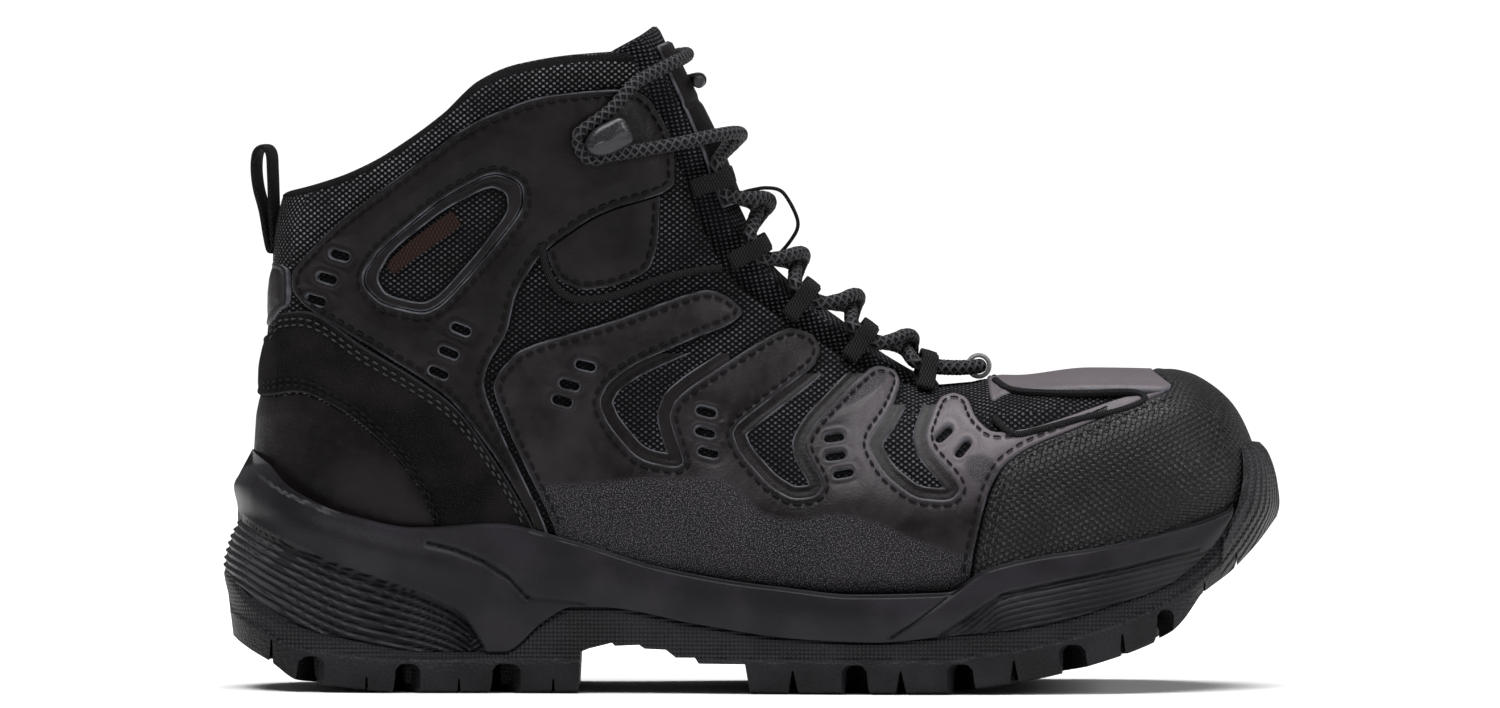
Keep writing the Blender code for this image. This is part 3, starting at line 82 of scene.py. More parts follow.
# Side-view outlines of the overlays, x z
CAGE = ((-56, 34), (-56, 46), (-69, 72.5), (-75.6, 88.7), (-73.4, 94), (-66.9, 100.8), (-39.9, 108.5),
        (-21.9, 115.2), (-12.8, 117.9), (-6, 115.6), (-1.6, 111), (-5.2, 107.6), (-17.5, 102.9),
        (-33.1, 96.1), (-41.1, 90.5), (-44, 84.9), (-41.3, 78.4), (-32.5, 68.1), (-19, 65.6),
        (-22.3, 75), (-23.9, 80.8), (-21.3, 87), (5.2, 104), (11.9, 106.6), (18.7, 104.4),
        (21, 99.6), (18.7, 94.9), (5.2, 84.9), (-5.4, 76.7), (-2.5, 69.9), (5.4, 61.1), (12.2, 56.9),
        (19, 57.6), (21.4, 61.1), (15, 72), (19, 79), (30.2, 90.2), (36.3, 95.4), (42.5, 94),
        (44.5, 90.2), (41.3, 82.3), (34.5, 73), (39.3, 64.3), (48.1, 57.3), (58.4, 56.5),
        (61.7, 60.2), (50, 73), (54.9, 85.8), (59.6, 87.5), (64, 85.8), (66.1, 80.2), (70.8, 75.9),
        (82, 77.3), (93.1, 80.8), (109, 86.2), (114, 86.6), (124, 88.4), (111.2, 83.4), (96.4, 77.2),
        (81, 71.4), (73.4, 66.3), (69, 57.8), (64.3, 37.5), (64, 20), (0, 16))
VAMP_SADDLE = ((70.5, 84), (75.5, 87.2), (96, 88.2), (112, 88.2), (121, 87.8), (128, 89), (124, 100),
               (72, 100), (69.5, 92))
ANKLE = ((-134.6, 123.4), (-120.8, 137.5), (-103.2, 150.5), (-82.6, 166.2), (-62, 174.6), (-38.4, 176.6),
         (-30.0, 174.6), (-23.8, 164.6), (-21.8, 156), (-22.0, 146.4), (-44.3, 140.2), (-61, 128.5),
         (-68.6, 116.7), (-71, 104.6), (-76.8, 96), (-78.2, 88.7), (-71.2, 72.5), (-58.2, 46), (-58.2, 30),
         (-60, 30), (-62.8, 48.8), (-73.2, 67), (-86.6, 84.9), (-97, 92.4), (-111.8, 101.2),
         (-130.6, 112.2), (-134.6, 117))
WINDOW = ((-113, 123), (-107.9, 129.9), (-89.9, 144.6), (-75.2, 152.4), (-66.6, 149), (-66.2, 141.1),
          (-78.7, 125.5), (-89.9, 113.4), (-95.5, 110.6), (-107.9, 113.4), (-113.2, 118.7))
WINDOW_LABEL = ((-107.6, 126.3), (-87.2, 140.8), (-84.2, 136.6), (-104.6, 122.1))
EYESTAY_PANEL = ((-60, 130), (-57, 121), (-49.5, 117.2), (-39, 118.8), (-29.5, 122.8), (-26.8, 131),
                 (-26, 150), (-44.3, 150), (-57, 137))
HEEL_BAND_TOP = ((-150, 103.5), (-142.5, 103.5), (-137, 110.4), (-131.1, 111.2), (-112, 100.2), (-97.3, 91.4),
                 (-87, 84), (-73.7, 66.2), (-63.4, 48), (-58, 36))
HEEL_BAND_LOW = ((-150, 85.8), (-143.8, 85.8), (-132.6, 87.2), (-120.8, 82.8), (-109, 74), (-97.3, 60.8),
                 (-91.4, 48), (-88, 38))
TOE_GUARD_EDGE = ((117, 96), (117, 93.3), (125.2, 88.3), (111.8, 83.9), (96.8, 77.7), (81.5, 71.9),
                  (74, 66.6), (69.7, 57.8), (65, 37.5), (64.7, 20), (175, 20), (175, 110), (117, 110))
BACK_TAB = ((-160, 104.6), (-142.6, 104.6), (-137.4, 111.6), (-135.4, 112.4), (-135.4, 123.6),
            (-139, 125.4), (-160, 125.4))
# Layers, as distances from the upper's surface
LINING = (-4.8, -3.4)
FOOTBED = (-8.3, -4.0)
SOLE_COVER = 4.5
LASTING_MARGIN = 17.0
COLLAR_PAD = 5.0
# Tongue
TONGUE_ROOT_PLACE = 7.95
TONGUE_PEAK = 194.5
TONGUE_FRONT = 1.6
TONGUE_SIDE = -6.5
BADGE_HALF = 15.5
BADGE_PLACES = (0.62, 2.95)
KEEPER_PATH = ((2.84, 4.2), (2.86, 7.0), (2.92, 11.0), (3.06, 14.4), (3.3, 15.4), (3.6, 15.2), (3.8, 13.8),
               (3.95, 11.0), (4.05, 7.0), (4.08, 2.7))
KEEPER_HALF = 3.2
TONGUE_THICK = 7.0
# Lacing: loops as section and run from the centre line, the hook as a side-view place
LOOPS = ((2.55, 17.0), (3.75, 14.0), (5.25, 12.5), (6.5, 11.5), (7.7, 10.5))
RING_PLACE = 8.5
LOOP_RADIUS = 3.65
LOOP_HALF = 2.6
HOOK_PLACE = (-47.0, 161.0)
LACE_RADIUS = 2.0
LACE_AT_LOOP = 6.8
LACE_LOW = 5.8
LACE_HIGH = 10.2
LACE_AT_HOOK = 6.3
HOOK_TURN = 4.9
# Tread: grooves and notches as place and width
MIDSOLE_FRONT = 142.0
LUG_DEPTH = 8.5
CROSS_GROOVES = ((-126, 5.6), (-100, 6.6), (-71.5, 7.4), (28, 7.2), (59.5, 7.0), (91, 6.6), (120.5, 5.8))
NOTCHES = ((11.6, 3.2), (43.7, 3.4), (76.7, 3.4), (107.5, 3.0))
WAIST = ((-50.5, -5), (1, -5), (-1.5, 8.6), (-15, 8.7), (-16.1, 10.4), (-21.7, 10.4), (-24.6, 12.7),
         (-30.8, 13), (-32.4, 14.1), (-39.5, 13.8), (-40.3, 14.7), (-47.1, 13), (-49.5, 12))


def smoothstep(value):
    value = np.clip(value, 0.0, 1.0)
    return value * value * (3.0 - 2.0 * value)


def slopes_of(x, y):
    """Slopes of a cubic through the points that doesn't overshoot them."""
    step = np.diff(x)
    rise = np.diff(y, axis=0) / (step[:, None] if y.ndim > 1 else step)
    slope = np.zeros_like(y)
    slope[0] = rise[0]
    slope[-1] = rise[-1]
    same = rise[:-1] * rise[1:] > 0
    both = 2.0 * rise[:-1] * rise[1:]
    total = np.where(same, rise[:-1] + rise[1:], 1.0)
    slope[1:-1] = np.where(same, both / total, 0.0)
    return slope


def smooth_line(keys, at):
    """Smooth curve through the keys (first column is the argument), read at the given places."""
    table = np.array(keys, dtype=float)
    x = table[:, 0]
    y = table[:, 1] if table.shape[1] == 2 else table[:, 1:]
    slope = slopes_of(x, y)
    at = np.clip(np.asarray(at, dtype=float), x[0], x[-1])
    cell = np.clip(np.searchsorted(x, at, side="right") - 1, 0, len(x) - 2)
    width = x[cell + 1] - x[cell]
    t = (at - x[cell]) / width
    if y.ndim > 1:
        width = width[..., None]
        t = t[..., None]
    h01 = t * t * (3.0 - 2.0 * t)
    h10 = t * (1.0 - t) ** 2
    h11 = t * t * (t - 1.0)
    return (1.0 - h01) * y[cell] + h01 * y[cell + 1] + width * (h10 * slope[cell] + h11 * slope[cell + 1])


def rounded(outline, times=2):
    """Closed outline with its corners cut and cut again."""
    points = np.array(outline, dtype=float)
    for _ in range(times):
        ahead = np.roll(points, -1, axis=0)
        points = np.stack((0.82 * points + 0.18 * ahead, 0.18 * points + 0.82 * ahead), axis=1).reshape(-1, 2)
    return points


def distance_inside(outline, x, z):
    """Distance to a closed outline, positive inside it."""
    outline = np.asarray(outline, dtype=float)
    x = np.asarray(x, dtype=float)
    z = np.asarray(z, dtype=float)
    best = np.full(x.shape, 1e9)
    inside = np.zeros(x.shape, dtype=bool)
    for (ax, az), (bx, bz) in zip(outline, np.roll(outline, -1, axis=0)):
        dx = bx - ax
        dz = bz - az
        t = np.clip(((x - ax) * dx + (z - az) * dz) / max(dx * dx + dz * dz, 1e-12), 0.0, 1.0)
        best = np.minimum(best, np.hypot(x - ax - t * dx, z - az - t * dz))
        if abs(dz) > 1e-12:
            crossing = ((az > z) != (bz > z)) & (x < ax + dx * (z - az) / dz)
            inside ^= crossing
    return np.where(inside, best, -best)


def section_curve(values, count=240):
    """One side of one cross-section, from its sole end to its instep end, as x, half width, z."""
    low_x, low_z, high_x, high_z, half, widest, low_full, high_full = values
    angle = np.linspace(0.0, math.pi, count)
    cosine = np.abs(np.cos(angle))
    sine = np.abs(np.sin(angle))
    below = angle <= math.pi / 2
    along = np.where(below, widest * (1.0 - cosine ** (2.0 / low_full)),
                     widest + (1.0 - widest) * cosine ** (2.0 / high_full))
    out = half * np.where(below, sine ** (2.0 / low_full), sine ** (2.0 / high_full))
    return np.stack((low_x + (high_x - low_x) * along, out, low_z + (high_z - low_z) * along), axis=1)


def section_values(place):
    keys = [(i, *row) for i, row in enumerate(SECTIONS)]
    return smooth_line(keys, float(place))


def run_lengths(points):
    return np.concatenate(([0.0], np.cumsum(np.linalg.norm(np.diff(points, axis=0), axis=1))))


def lean(x):
    return smooth_line(FOOT_LEAN, x)


def upper_point(place, from_centre, side):
    """Point of the upper at a section, a distance round it from the instep line; side -1 outer, 1 inner."""
    curve = section_curve(section_values(place))[::-1]
    run = run_lengths(curve)
    reach = abs(from_centre)
    point = np.array([np.interp(reach, run, curve[:, k]) for k in range(3)])
    return np.array((point[0], side * point[1] + float(lean(point[0])), point[2]))


def upper_normal(place, from_centre, side):
    eps = 0.6
    nearer = max(from_centre - eps, 0.0)
    across = upper_point(place, from_centre + eps, side) - upper_point(place, nearer, side)
    low = max(place - 0.05, 0.0)
    high = min(place + 0.05, len(SECTIONS) - 1.0)
    along = upper_point(high, from_centre, side) - upper_point(low, from_centre, side)
    normal = np.cross(along, across) * side
    return normal / max(np.linalg.norm(normal), 1e-9)


def ring_quads(rings, sides, closed=False):
    """Quads between neighbouring rings of points, each ring closed; the last ring may meet the first."""
    i, j = np.meshgrid(np.arange(rings if closed else rings - 1), np.arange(sides), indexing="ij")
    ahead = (i + 1) % rings
    k = (j + 1) % sides
    return np.column_stack([(a * sides + b).ravel() for a, b in ((i, j), (ahead, j), (ahead, k), (i, k))])


def outward(points, quads, *others):
    """All the faces, turned over if the quads enclose a negative volume."""
    a, b, c = (points[quads[:, k]] for k in range(3))
    if np.einsum("ij,ij->i", a, np.cross(b, c)).sum() < 0:
        return [faces[:, ::-1] for faces in (quads, *others)]
    return [quads, *others]


def facing_out(points, faces):
    """The faces, all turned over if they enclose a negative volume."""
    points = np.asarray(points, dtype=float)
    volume = 0.0
    for face in faces:
        for k in range(1, len(face) - 1):
            volume += np.dot(points[face[0]], np.cross(points[face[k]], points[face[k + 1]]))
    return faces if volume > 0 else [tuple(reversed(face)) for face in faces]


def smooth_path(points, steps, closed=False):
    """Catmull-Rom curve through the points."""
    points = np.array(points, dtype=float)
    count = len(points)
    out = []
    last = count if closed else count - 1
    for i in range(last):
        if closed:
            p0, p1, p2, p3 = (points[(i + k) % count] for k in (-1, 0, 1, 2))
        else:
            p0, p1, p2, p3 = (points[min(max(i + k, 0), count - 1)] for k in (-1, 0, 1, 2))
        for k in range(steps):
            t = k / steps
            out.append(0.5 * (2 * p1 + (p2 - p0) * t + (2 * p0 - 5 * p1 + 4 * p2 - p3) * t * t
                              + (3 * p1 - p0 - 3 * p2 + p3) * t ** 3))
    if not closed:
        out.append(points[-1])
    return np.array(out)


def tongue_columns(place):
    """Runs from the centre line and outer faces of one row of the tongue."""
    half = float(smooth_line(THROAT_HALF, place))
    full = max(half - 9.0, 3.0)
    inner = min(BADGE_HALF, full * 0.85)
    return ((0.0, TONGUE_FRONT), (inner / 2, TONGUE_FRONT), (inner, TONGUE_FRONT), (full, TONGUE_FRONT - 0.2),
            (full + 4.0, -2.6), (half - 1.5, TONGUE_SIDE), (half + 6.5, TONGUE_SIDE))


def place_at_height(run, side, height):
    """The section whose surface point at this run from the centre line has the given height."""
    low = 0.0
    high = 4.0
    for _ in range(24):
        middle = (low + high) / 2.0
        if upper_point(middle, run, side)[2] > height:
            low = middle
        else:
            high = middle
    return low


def locate(x, z, skin_points, places, runs):
    """Section and run of the outer side's surface point seen at a side-view place."""
    distance = (skin_points[:, 0] - x) ** 2 + (skin_points[:, 2] - z) ** 2
    best = int(np.argmin(distance))
    return float(places[best]), float(abs(runs[best]))


def spot(place, run, side, height):
    return upper_point(place, run, side) + upper_normal(place, run, side) * height


def crossing(start, end, side, height, steps=7):
    """Points of a lace strand from one side to the other over the tongue, without its two ends."""
    points = []
    for k in range(1, steps):
        t = k / steps
        place = start[0] + (end[0] - start[0]) * t
        run = start[1] * (1 - t) - end[1] * t
        lift = start[2] * (1 - t) + end[2] * t
        lift = lift + (height - lift) * math.sin(math.pi * t) ** 0.7
        points.append(spot(place, abs(run), side if run > 0 else -side, lift))
    return points


def step_along(place, run, distance):
    """Change of section number for a distance along the boot."""
    low = upper_point(place - 0.1, run, 1)
    high = upper_point(place + 0.1, run, 1)
    return distance * 0.2 / np.linalg.norm(high - low)


def through_loop(loop, side):
    step = step_along(*loop, 4.6)
    return [spot(loop[0] + shift, loop[1], side, LACE_AT_LOOP) for shift in (step, 0.0, -step)]


def round_hook(side, found):
    """Lace points that pass below the hook's neck, behind it and on up."""
    points = []
    for degrees in (-45, -80, -115, -150, 175, 140):
        angle = math.radians(degrees)
        x = HOOK_PLACE[0] + HOOK_TURN * math.cos(angle)
        z = HOOK_PLACE[1] + HOOK_TURN * math.sin(angle)
        points.append(spot(*locate(x, z, *found), side, LACE_AT_HOOK))
    return points


def half_lace(first_side, found):
    """Lace from the ring at the bottom of the throat up one zigzag, round its hook."""
    points = []
    side = first_side
    for level in reversed(range(len(LOOPS))):
        points += through_loop(LOOPS[level], side)
        low = (first_side < 0) == (level % 2 == 0)
        start = (LOOPS[level][0] - step_along(*LOOPS[level], 7.0), LOOPS[level][1] - 1.5, LACE_AT_LOOP)
        if level > 0:
            above = LOOPS[level - 1]
            end = (above[0] + step_along(*above, 7.0), above[1] - 1.5, LACE_AT_LOOP)
        else:
            place, run = locate(HOOK_PLACE[0] + 11.0, HOOK_PLACE[1] - 3.6, *found)
            end = (place, run, LACE_AT_HOOK)
        points += crossing(start, end, side, LACE_LOW if low else LACE_HIGH)
        side = -side
    return points + round_hook(side, found), side


def on_side(places, side, found):
    return [spot(*locate(x, z, *found), side, LACE_AT_HOOK) for x, z in places]


def lace_path(found):
    right, right_side = half_lace(-1, found)
    left, left_side = half_lace(1, found)
    near = locate(-28.5, 180.6, *found)
    far = locate(-31.0, 181.6, *found)
    over = crossing((near[0], near[1], LACE_AT_HOOK), (far[0], far[1], LACE_AT_HOOK), left_side, LACE_LOW)
    left += on_side(((-43.5, 169.0), (-36.5, 176.0), (-28.5, 180.6)), left_side, found) + over
    left += on_side(((-37.0, 179.0), (-43.0, 176.4)), -left_side, found)
    near = locate(-27.5, 174.0, *found)
    far = locate(-21.5, 174.6, *found)
    short = crossing((near[0], near[1], LACE_AT_HOOK), (far[0], far[1] - 4.0, LACE_LOW), right_side, LACE_LOW)
    right += on_side(((-44.0, 167.6), (-36.5, 171.6), (-27.5, 174.0)), right_side, found) + short
    ring_runs = ((-1, 8.4, -0.24), (-1, 4.2, 0.0), (1, 0.0, 0.0), (1, 4.2, 0.0), (1, 8.4, -0.24))
    bottom = [spot(RING_PLACE + shift, run, side, LACE_AT_HOOK) for side, run, shift in ring_runs]
    return right[::-1] + bottom + left


# Fineness of the visible skin
SKIN_ROWS = 320
SKIN_RING = 120
REACH = 3.0

# Slots through the overlays: side-view place and tilt in degrees
SLOTS = ((-120.2, 127.6, -15), (-124.0, 120.8, -15), (-127.3, 114.3, -15), (-84.6, 106.1, -22),
         (-88.1, 99.3, -22), (-91.1, 93.4, -22), (-48.1, 95.5, -14), (-52.8, 89.9, -14), (-54.9, 85.2, -14),
         (-12.8, 82.0, -14), (-13.1, 76.1, -14), (-12.2, 70.2, -14), (24.6, 74.6, 8), (24.9, 69.3, 8),
         (27.2, 64.3, 10), (56.7, 75.5, 42), (62.2, 71.4, 50))
SLOT_LONG = 1.75
SLOT_ROUND = 1.2
POCKET_BOXES = ((-47.0, 63.0, -6.0, 99.0), (-9.0, 54.0, 34.0, 93.0), (30.0, 54.0, 62.5, 84.0))


class Graph:
    """Small helper that writes one material's nodes."""

    def __init__(self, name, roughness=0.6, sheen=0.0, specular=0.4):
        self.material = bpy.data.materials.new(name)
        self.material.use_nodes = True
        self.tree = self.material.node_tree
        self.shader = self.tree.nodes["Principled BSDF"]
        self.set("Roughness", roughness)
        self.set("Sheen Weight", sheen)
        self.set("Specular IOR Level", specular)

    def set(self, socket, value):
        self.feed(self.shader.inputs[socket], value)

    def feed(self, socket, value):
        if isinstance(value, bpy.types.NodeSocket):
            self.tree.links.new(value, socket)
        elif isinstance(value, (tuple, list)) and len(value) == 3 and socket.type == "RGBA":
            socket.default_value = (*value, 1.0)
        else:
            socket.default_value = value

    def node(self, kind, feeds=None, **properties):
        made = self.tree.nodes.new(kind)
        for key, value in properties.items():
            setattr(made, key, value)
        for key, value in (feeds or {}).items():
            self.feed(made.inputs[key], value)
        return made

    def uv(self, scale=(1.0, 1.0), turn=0.0, name="mm"):
        source = self.node("ShaderNodeUVMap", uv_map=name).outputs[0]
        moved = self.node("ShaderNodeMapping", {0: source, 2: (0.0, 0.0, math.radians(turn)),
                                                3: (scale[0], scale[1], 1.0)})
        return moved.outputs[0]

    def value(self, name):
        return self.node("ShaderNodeAttribute", attribute_name=name).outputs["Fac"]

    def maths(self, operation, a, b=0.0, c=0.0):
        return self.node("ShaderNodeMath", {0: a, 1: b, 2: c}, operation=operation).outputs[0]

    def step(self, value, low, high, to_low=0.0, to_high=1.0):
        made = self.node("ShaderNodeMapRange", {0: value, 1: low, 2: high, 3: to_low, 4: to_high},
                         interpolation_type="SMOOTHSTEP")
        return made.outputs[0]

    def mix(self, share, a, b):
        made = self.node("ShaderNodeMix", {0: share, 6: a, 7: b}, data_type="RGBA")
        return made.outputs[2]

    def noise(self, vector, scale, detail=2.0, roughness=0.5):
        made = self.node("ShaderNodeTexNoise", {"Vector": vector, "Scale": scale, "Detail": detail,
                                                "Roughness": roughness}, noise_dimensions="2D")
        return made.outputs[0]

    def cells(self, vector, scale, feature="F1", randomness=1.0):
        made = self.node("ShaderNodeTexVoronoi", {"Vector": vector, "Scale": scale, "Randomness": randomness},
                         voronoi_dimensions="2D", feature=feature)
        return made.outputs["Distance"]

    def split(self, vector):
        made = self.node("ShaderNodeSeparateXYZ", {0: vector})
        return made.outputs[0], made.outputs[1]

    def bump(self, height, distance, strength=1.0, before=None):
        feeds = {"Height": height, "Distance": distance, "Strength": strength}
        if before is not None:
            feeds["Normal"] = before
        return self.node("ShaderNodeBump", feeds).outputs[0]

    def checks(self, pitch_x, pitch_y, turn=0.0):
        """Staggered bumps, as the floats of a weave."""
        x, y = self.split(self.uv((2 * math.pi / pitch_x, 2 * math.pi / pitch_y), turn))
        return self.maths("MULTIPLY", self.maths("SINE", x), self.maths("SINE", y))


def mesh_material(name, pitch=(2.3, 1.7), dark=(0.010, 0.009, 0.011), light=(0.15, 0.145, 0.155), turn=0.0):
    g = Graph(name, 0.85, 0.0, 0.05)
    lattice = g.checks(*pitch, turn)
    # Painted highlights: the light dots are the glints that the weave's floats catch, patchy and a little
    # brighter along streaks.
    painted_glints = g.step(lattice, 0.10, 0.75)
    patch = g.step(g.noise(g.uv(), 0.05, 2.0), 0.3, 0.7, 0.45, 1.15)
    single = g.step(g.noise(g.uv(), 0.9, 1.0), 0.35, 0.65, 0.45, 1.1)
    share = g.maths("MULTIPLY", g.maths("MULTIPLY", painted_glints, patch), single)
    thread = g.step(g.noise(g.uv((1.0, 5.0)), 1.2, 1.0), 0.3, 0.7, 0.0, 0.25)
    # Painted shade: fewer glints where the mesh lies under an overlay's edge or at the bottom of a slot.
    share = g.maths("MULTIPLY", share, g.maths("SUBTRACT", 1.0, g.value("painted_shade")))
    shade = g.mix(g.maths("ADD", share, g.maths("MULTIPLY", thread, share)), dark, light)
    g.set("Base Color", shade)
    g.set("Normal", g.bump(lattice, 0.00035, 0.9))
    return g.material


def leather_material(name, base, light, roughness, frost_tone=(0.13, 0.125, 0.14)):
    g = Graph(name, roughness, 0.0, 0.12)
    broad = g.noise(g.uv(), 0.045, 3.0, 0.6)
    rubbed = g.noise(g.uv(), 0.35, 4.0, 0.65)
    shade = g.mix(g.step(broad, 0.3, 0.72), base, light)
    shade = g.mix(g.step(rubbed, 0.50, 0.80, 0.0, 0.35), shade, light)
    # Painted highlight: much lighter where the satin catches the light over the forefoot.
    tone = g.value("tone")
    shade = g.mix(g.maths("MULTIPLY", tone, 0.9), shade, tuple(6.0 * v for v in light))
    grain = g.noise(g.uv(), 2.6, 2.0, 0.6)
    specks = g.step(grain, 0.53, 0.63)
    frost = g.value("frost")
    shade = g.mix(g.maths("MULTIPLY", frost, 0.7), shade, (0.0055, 0.0050, 0.0055))
    shade = g.mix(g.maths("MULTIPLY", frost, specks), shade, frost_tone)
    edge = g.value("edge")
    # Painted highlight along the rolled edges, partly their lighter raw-edge colour, in patches.
    patchy_rim = g.step(g.noise(g.uv(), 0.14, 3.0), 0.32, 0.68, 0.12, 1.0)
    rim = g.maths("MULTIPLY", g.step(edge, 0.28, 0.6, 1.0, 0.0), patchy_rim)
    shade = g.mix(rim, shade, EDGE_HIGHLIGHT)
    g.set("Base Color", shade)
    g.set("Roughness", g.maths("ADD", g.step(rubbed, 0.2, 0.8, roughness - 0.07, roughness + 0.09),
                               g.maths("MULTIPLY", frost, 0.22)))
    cells = g.cells(g.uv(), 1.25, "SMOOTH_F1")
    fine = g.bump(cells, 0.00010, 0.55)
    fine = g.bump(g.maths("MULTIPLY", frost, specks), 0.00025, 0.8, fine)
    creased = g.bump(g.noise(g.uv((1.0, 0.45), 25.0), 0.16, 2.0), 0.0010, 0.35, fine)
    g.set("Normal", creased)
    return g.material


def grip_material():
    g = Graph("toe_grip", 0.46, 0.0, 0.20)
    x, y = g.split(g.uv((2 * math.pi / 3.0, 2 * math.pi / 1.9), 8.0))
    lattice = g.maths("MULTIPLY", g.maths("SINE", x), g.maths("SINE", y))
    raised = g.step(lattice, -0.25, 0.55)
    single = g.step(g.noise(g.uv(), 1.1, 2.0), 0.30, 0.68)
    # Painted highlights: the raised pebbles are painted lighter, in patches across the guard.
    highlight_patches = g.step(g.noise(g.uv(), 0.05, 2.0), 0.35, 0.7, 0.35, 1.0)
    share = g.maths("MULTIPLY", g.maths("MULTIPLY", raised, single), highlight_patches)
    g.set("Base Color", g.mix(share, (0.0022, 0.0022, 0.0026), (0.034, 0.034, 0.039)))
    g.set("Roughness", g.step(single, 0.0, 1.0, 0.62, 0.38))
    g.set("Normal", g.bump(raised, 0.0007, 1.0, g.bump(g.noise(g.uv(), 3.0, 2.0), 0.0001, 0.6)))
    return g.material


def suede_material():
    g = Graph("suede_band", 0.9, 0.0, 0.04)
    nap = g.noise(g.uv(), 2.2, 3.0, 0.75)
    broad = g.step(g.noise(g.uv(), 0.06, 3.0), 0.3, 0.7)
    shade = g.mix(broad, (0.0035, 0.0032, 0.0035), (0.0085, 0.0075, 0.0080))
    shade = g.mix(g.step(nap, 0.56, 0.72), shade, (0.026, 0.024, 0.026))
    edge = g.value("edge")
    # Painted highlight along the band's rolled edge, partly its lighter edge colour.
    shade = g.mix(g.step(edge, 0.3, 0.7, 0.4, 0.0), shade, (0.05, 0.05, 0.055))
    g.set("Base Color", shade)
    g.set("Normal", g.bump(nap, 0.0004, 0.9))
    return g.material


def rubber_material(name, base, light, roughness=0.45, grain=3.2, knurl=0.0, ridge=False):
    g = Graph(name, roughness, 0.0, 0.14)
    broad = g.noise(g.uv(), 0.05, 3.0)
    fine = g.noise(g.uv(), grain, 2.0, 0.6)
    shade = g.mix(g.step(broad, 0.3, 0.75), base, light)
    scuffed = g.maths("MULTIPLY", g.step(fine, 0.52, 0.72), g.step(broad, 0.35, 0.7, 0.15, 0.6))
    shade = g.mix(scuffed, shade, tuple(2.1 * v for v in light))
    normal = g.bump(fine, 0.00012, 0.6)
    if knurl:
        lattice = g.checks(knurl, knurl, 45.0)
        zone = g.value("knurl")
        normal = g.bump(g.maths("MULTIPLY", lattice, zone), 0.0004, 0.9, normal)
        shade = g.mix(g.maths("MULTIPLY", g.step(lattice, 0.2, 0.8), g.maths("MULTIPLY", zone, 0.6)), shade,
                      tuple(2.6 * v for v in light))
        pebble = g.cells(g.uv((1.0, 1.5)), 0.75, "F1")
        flat = g.maths("SUBTRACT", 1.0, zone)
        normal = g.bump(g.maths("MULTIPLY", pebble, flat), 0.00035, 0.8, normal)
    if ridge:
        x, _ = g.split(g.uv((2 * math.pi / 1.9, 1.0), 62.0))
        lines = g.maths("MULTIPLY", g.maths("SINE", x), g.value("wrap"))
        normal = g.bump(lines, 0.0006, 1.0, normal)
        shade = g.mix(g.maths("MULTIPLY", g.step(lines, 0.2, 0.9), 0.7), shade, tuple(3.0 * v for v in light))
    # Painted shade: darker where the groove field marks grooves, recesses and the shadow under the heel
    # panel.
    shade = g.mix(g.step(g.value("groove"), 0.1, 0.9), shade, (0.004, 0.004, 0.005))
    g.set("Base Color", shade)
    g.set("Roughness", g.step(fine, 0.2, 0.8, roughness - 0.06, roughness + 0.1))
    g.set("Normal", normal)
    return g.material


def webbing_material(name, base=(0.011, 0.010, 0.012), light=(0.055, 0.052, 0.058), pitch=1.0):
    g = Graph(name, 0.75, 0.0, 0.08)
    ribs = g.checks(pitch * 0.9, pitch * 1.8)
    fine = g.noise(g.uv((1.0, 4.0)), 1.4, 2.0)
    share = g.maths("MULTIPLY", g.step(ribs, -0.1, 0.8), g.step(fine, 0.25, 0.7, 0.4, 1.0))
    g.set("Base Color", g.mix(share, base, light))
    g.set("Normal", g.bump(ribs, 0.00022, 0.9))
    return g.material


def braid_material(name):
    """Round braid: two helical strand families that pass over one another."""
    g = Graph(name, 0.6, 0.0, 0.12)
    source = g.node("ShaderNodeUVMap", uv_map="braid").outputs[0]
    x, y = g.split(source)
    around = g.maths("MULTIPLY", x, 2 * math.pi * 4)
    along = g.maths("MULTIPLY", y, 2 * math.pi / 2.6)
    first = g.maths("SINE", g.maths("ADD", around, along))
    second = g.maths("SINE", g.maths("SUBTRACT", around, along))
    over = g.maths("MAXIMUM", first, second)
    share = g.step(over, 0.25, 0.95)
    fuzz = g.noise(g.node("ShaderNodeMapping", {0: source, 3: (8.0, 2.0, 1.0)}).outputs[0], 2.0, 2.0)
    share = g.maths("MULTIPLY", share, g.step(fuzz, 0.2, 0.75, 0.45, 1.0))
    g.set("Base Color", g.mix(share, (0.0035, 0.0035, 0.0040), (0.046, 0.044, 0.049)))
    g.set("Normal", g.bump(over, 0.0004, 1.0))
    return g.material


def plastic_material(name, base, roughness=0.3):
    g = Graph(name, roughness, 0.0, 0.35)
    fine = g.noise(g.uv(), 1.5, 3.0)
    g.set("Base Color", g.mix(g.step(fine, 0.3, 0.75), base, tuple(1.9 * v for v in base)))
    g.set("Roughness", g.step(fine, 0.25, 0.75, roughness - 0.05, roughness + 0.12))
    g.set("Normal", g.bump(fine, 0.00008, 0.5))
    return g.material


def thread_material(name, base):
    g = Graph(name, 0.7, 0.0, 0.1)
    twist = g.noise(g.uv((3.0, 3.0)), 2.0, 1.0)
    g.set("Base Color", g.mix(g.step(twist, 0.3, 0.7), base, tuple(2.4 * v for v in base)))
    g.set("Normal", g.bump(twist, 0.0001, 0.8))
    return g.material


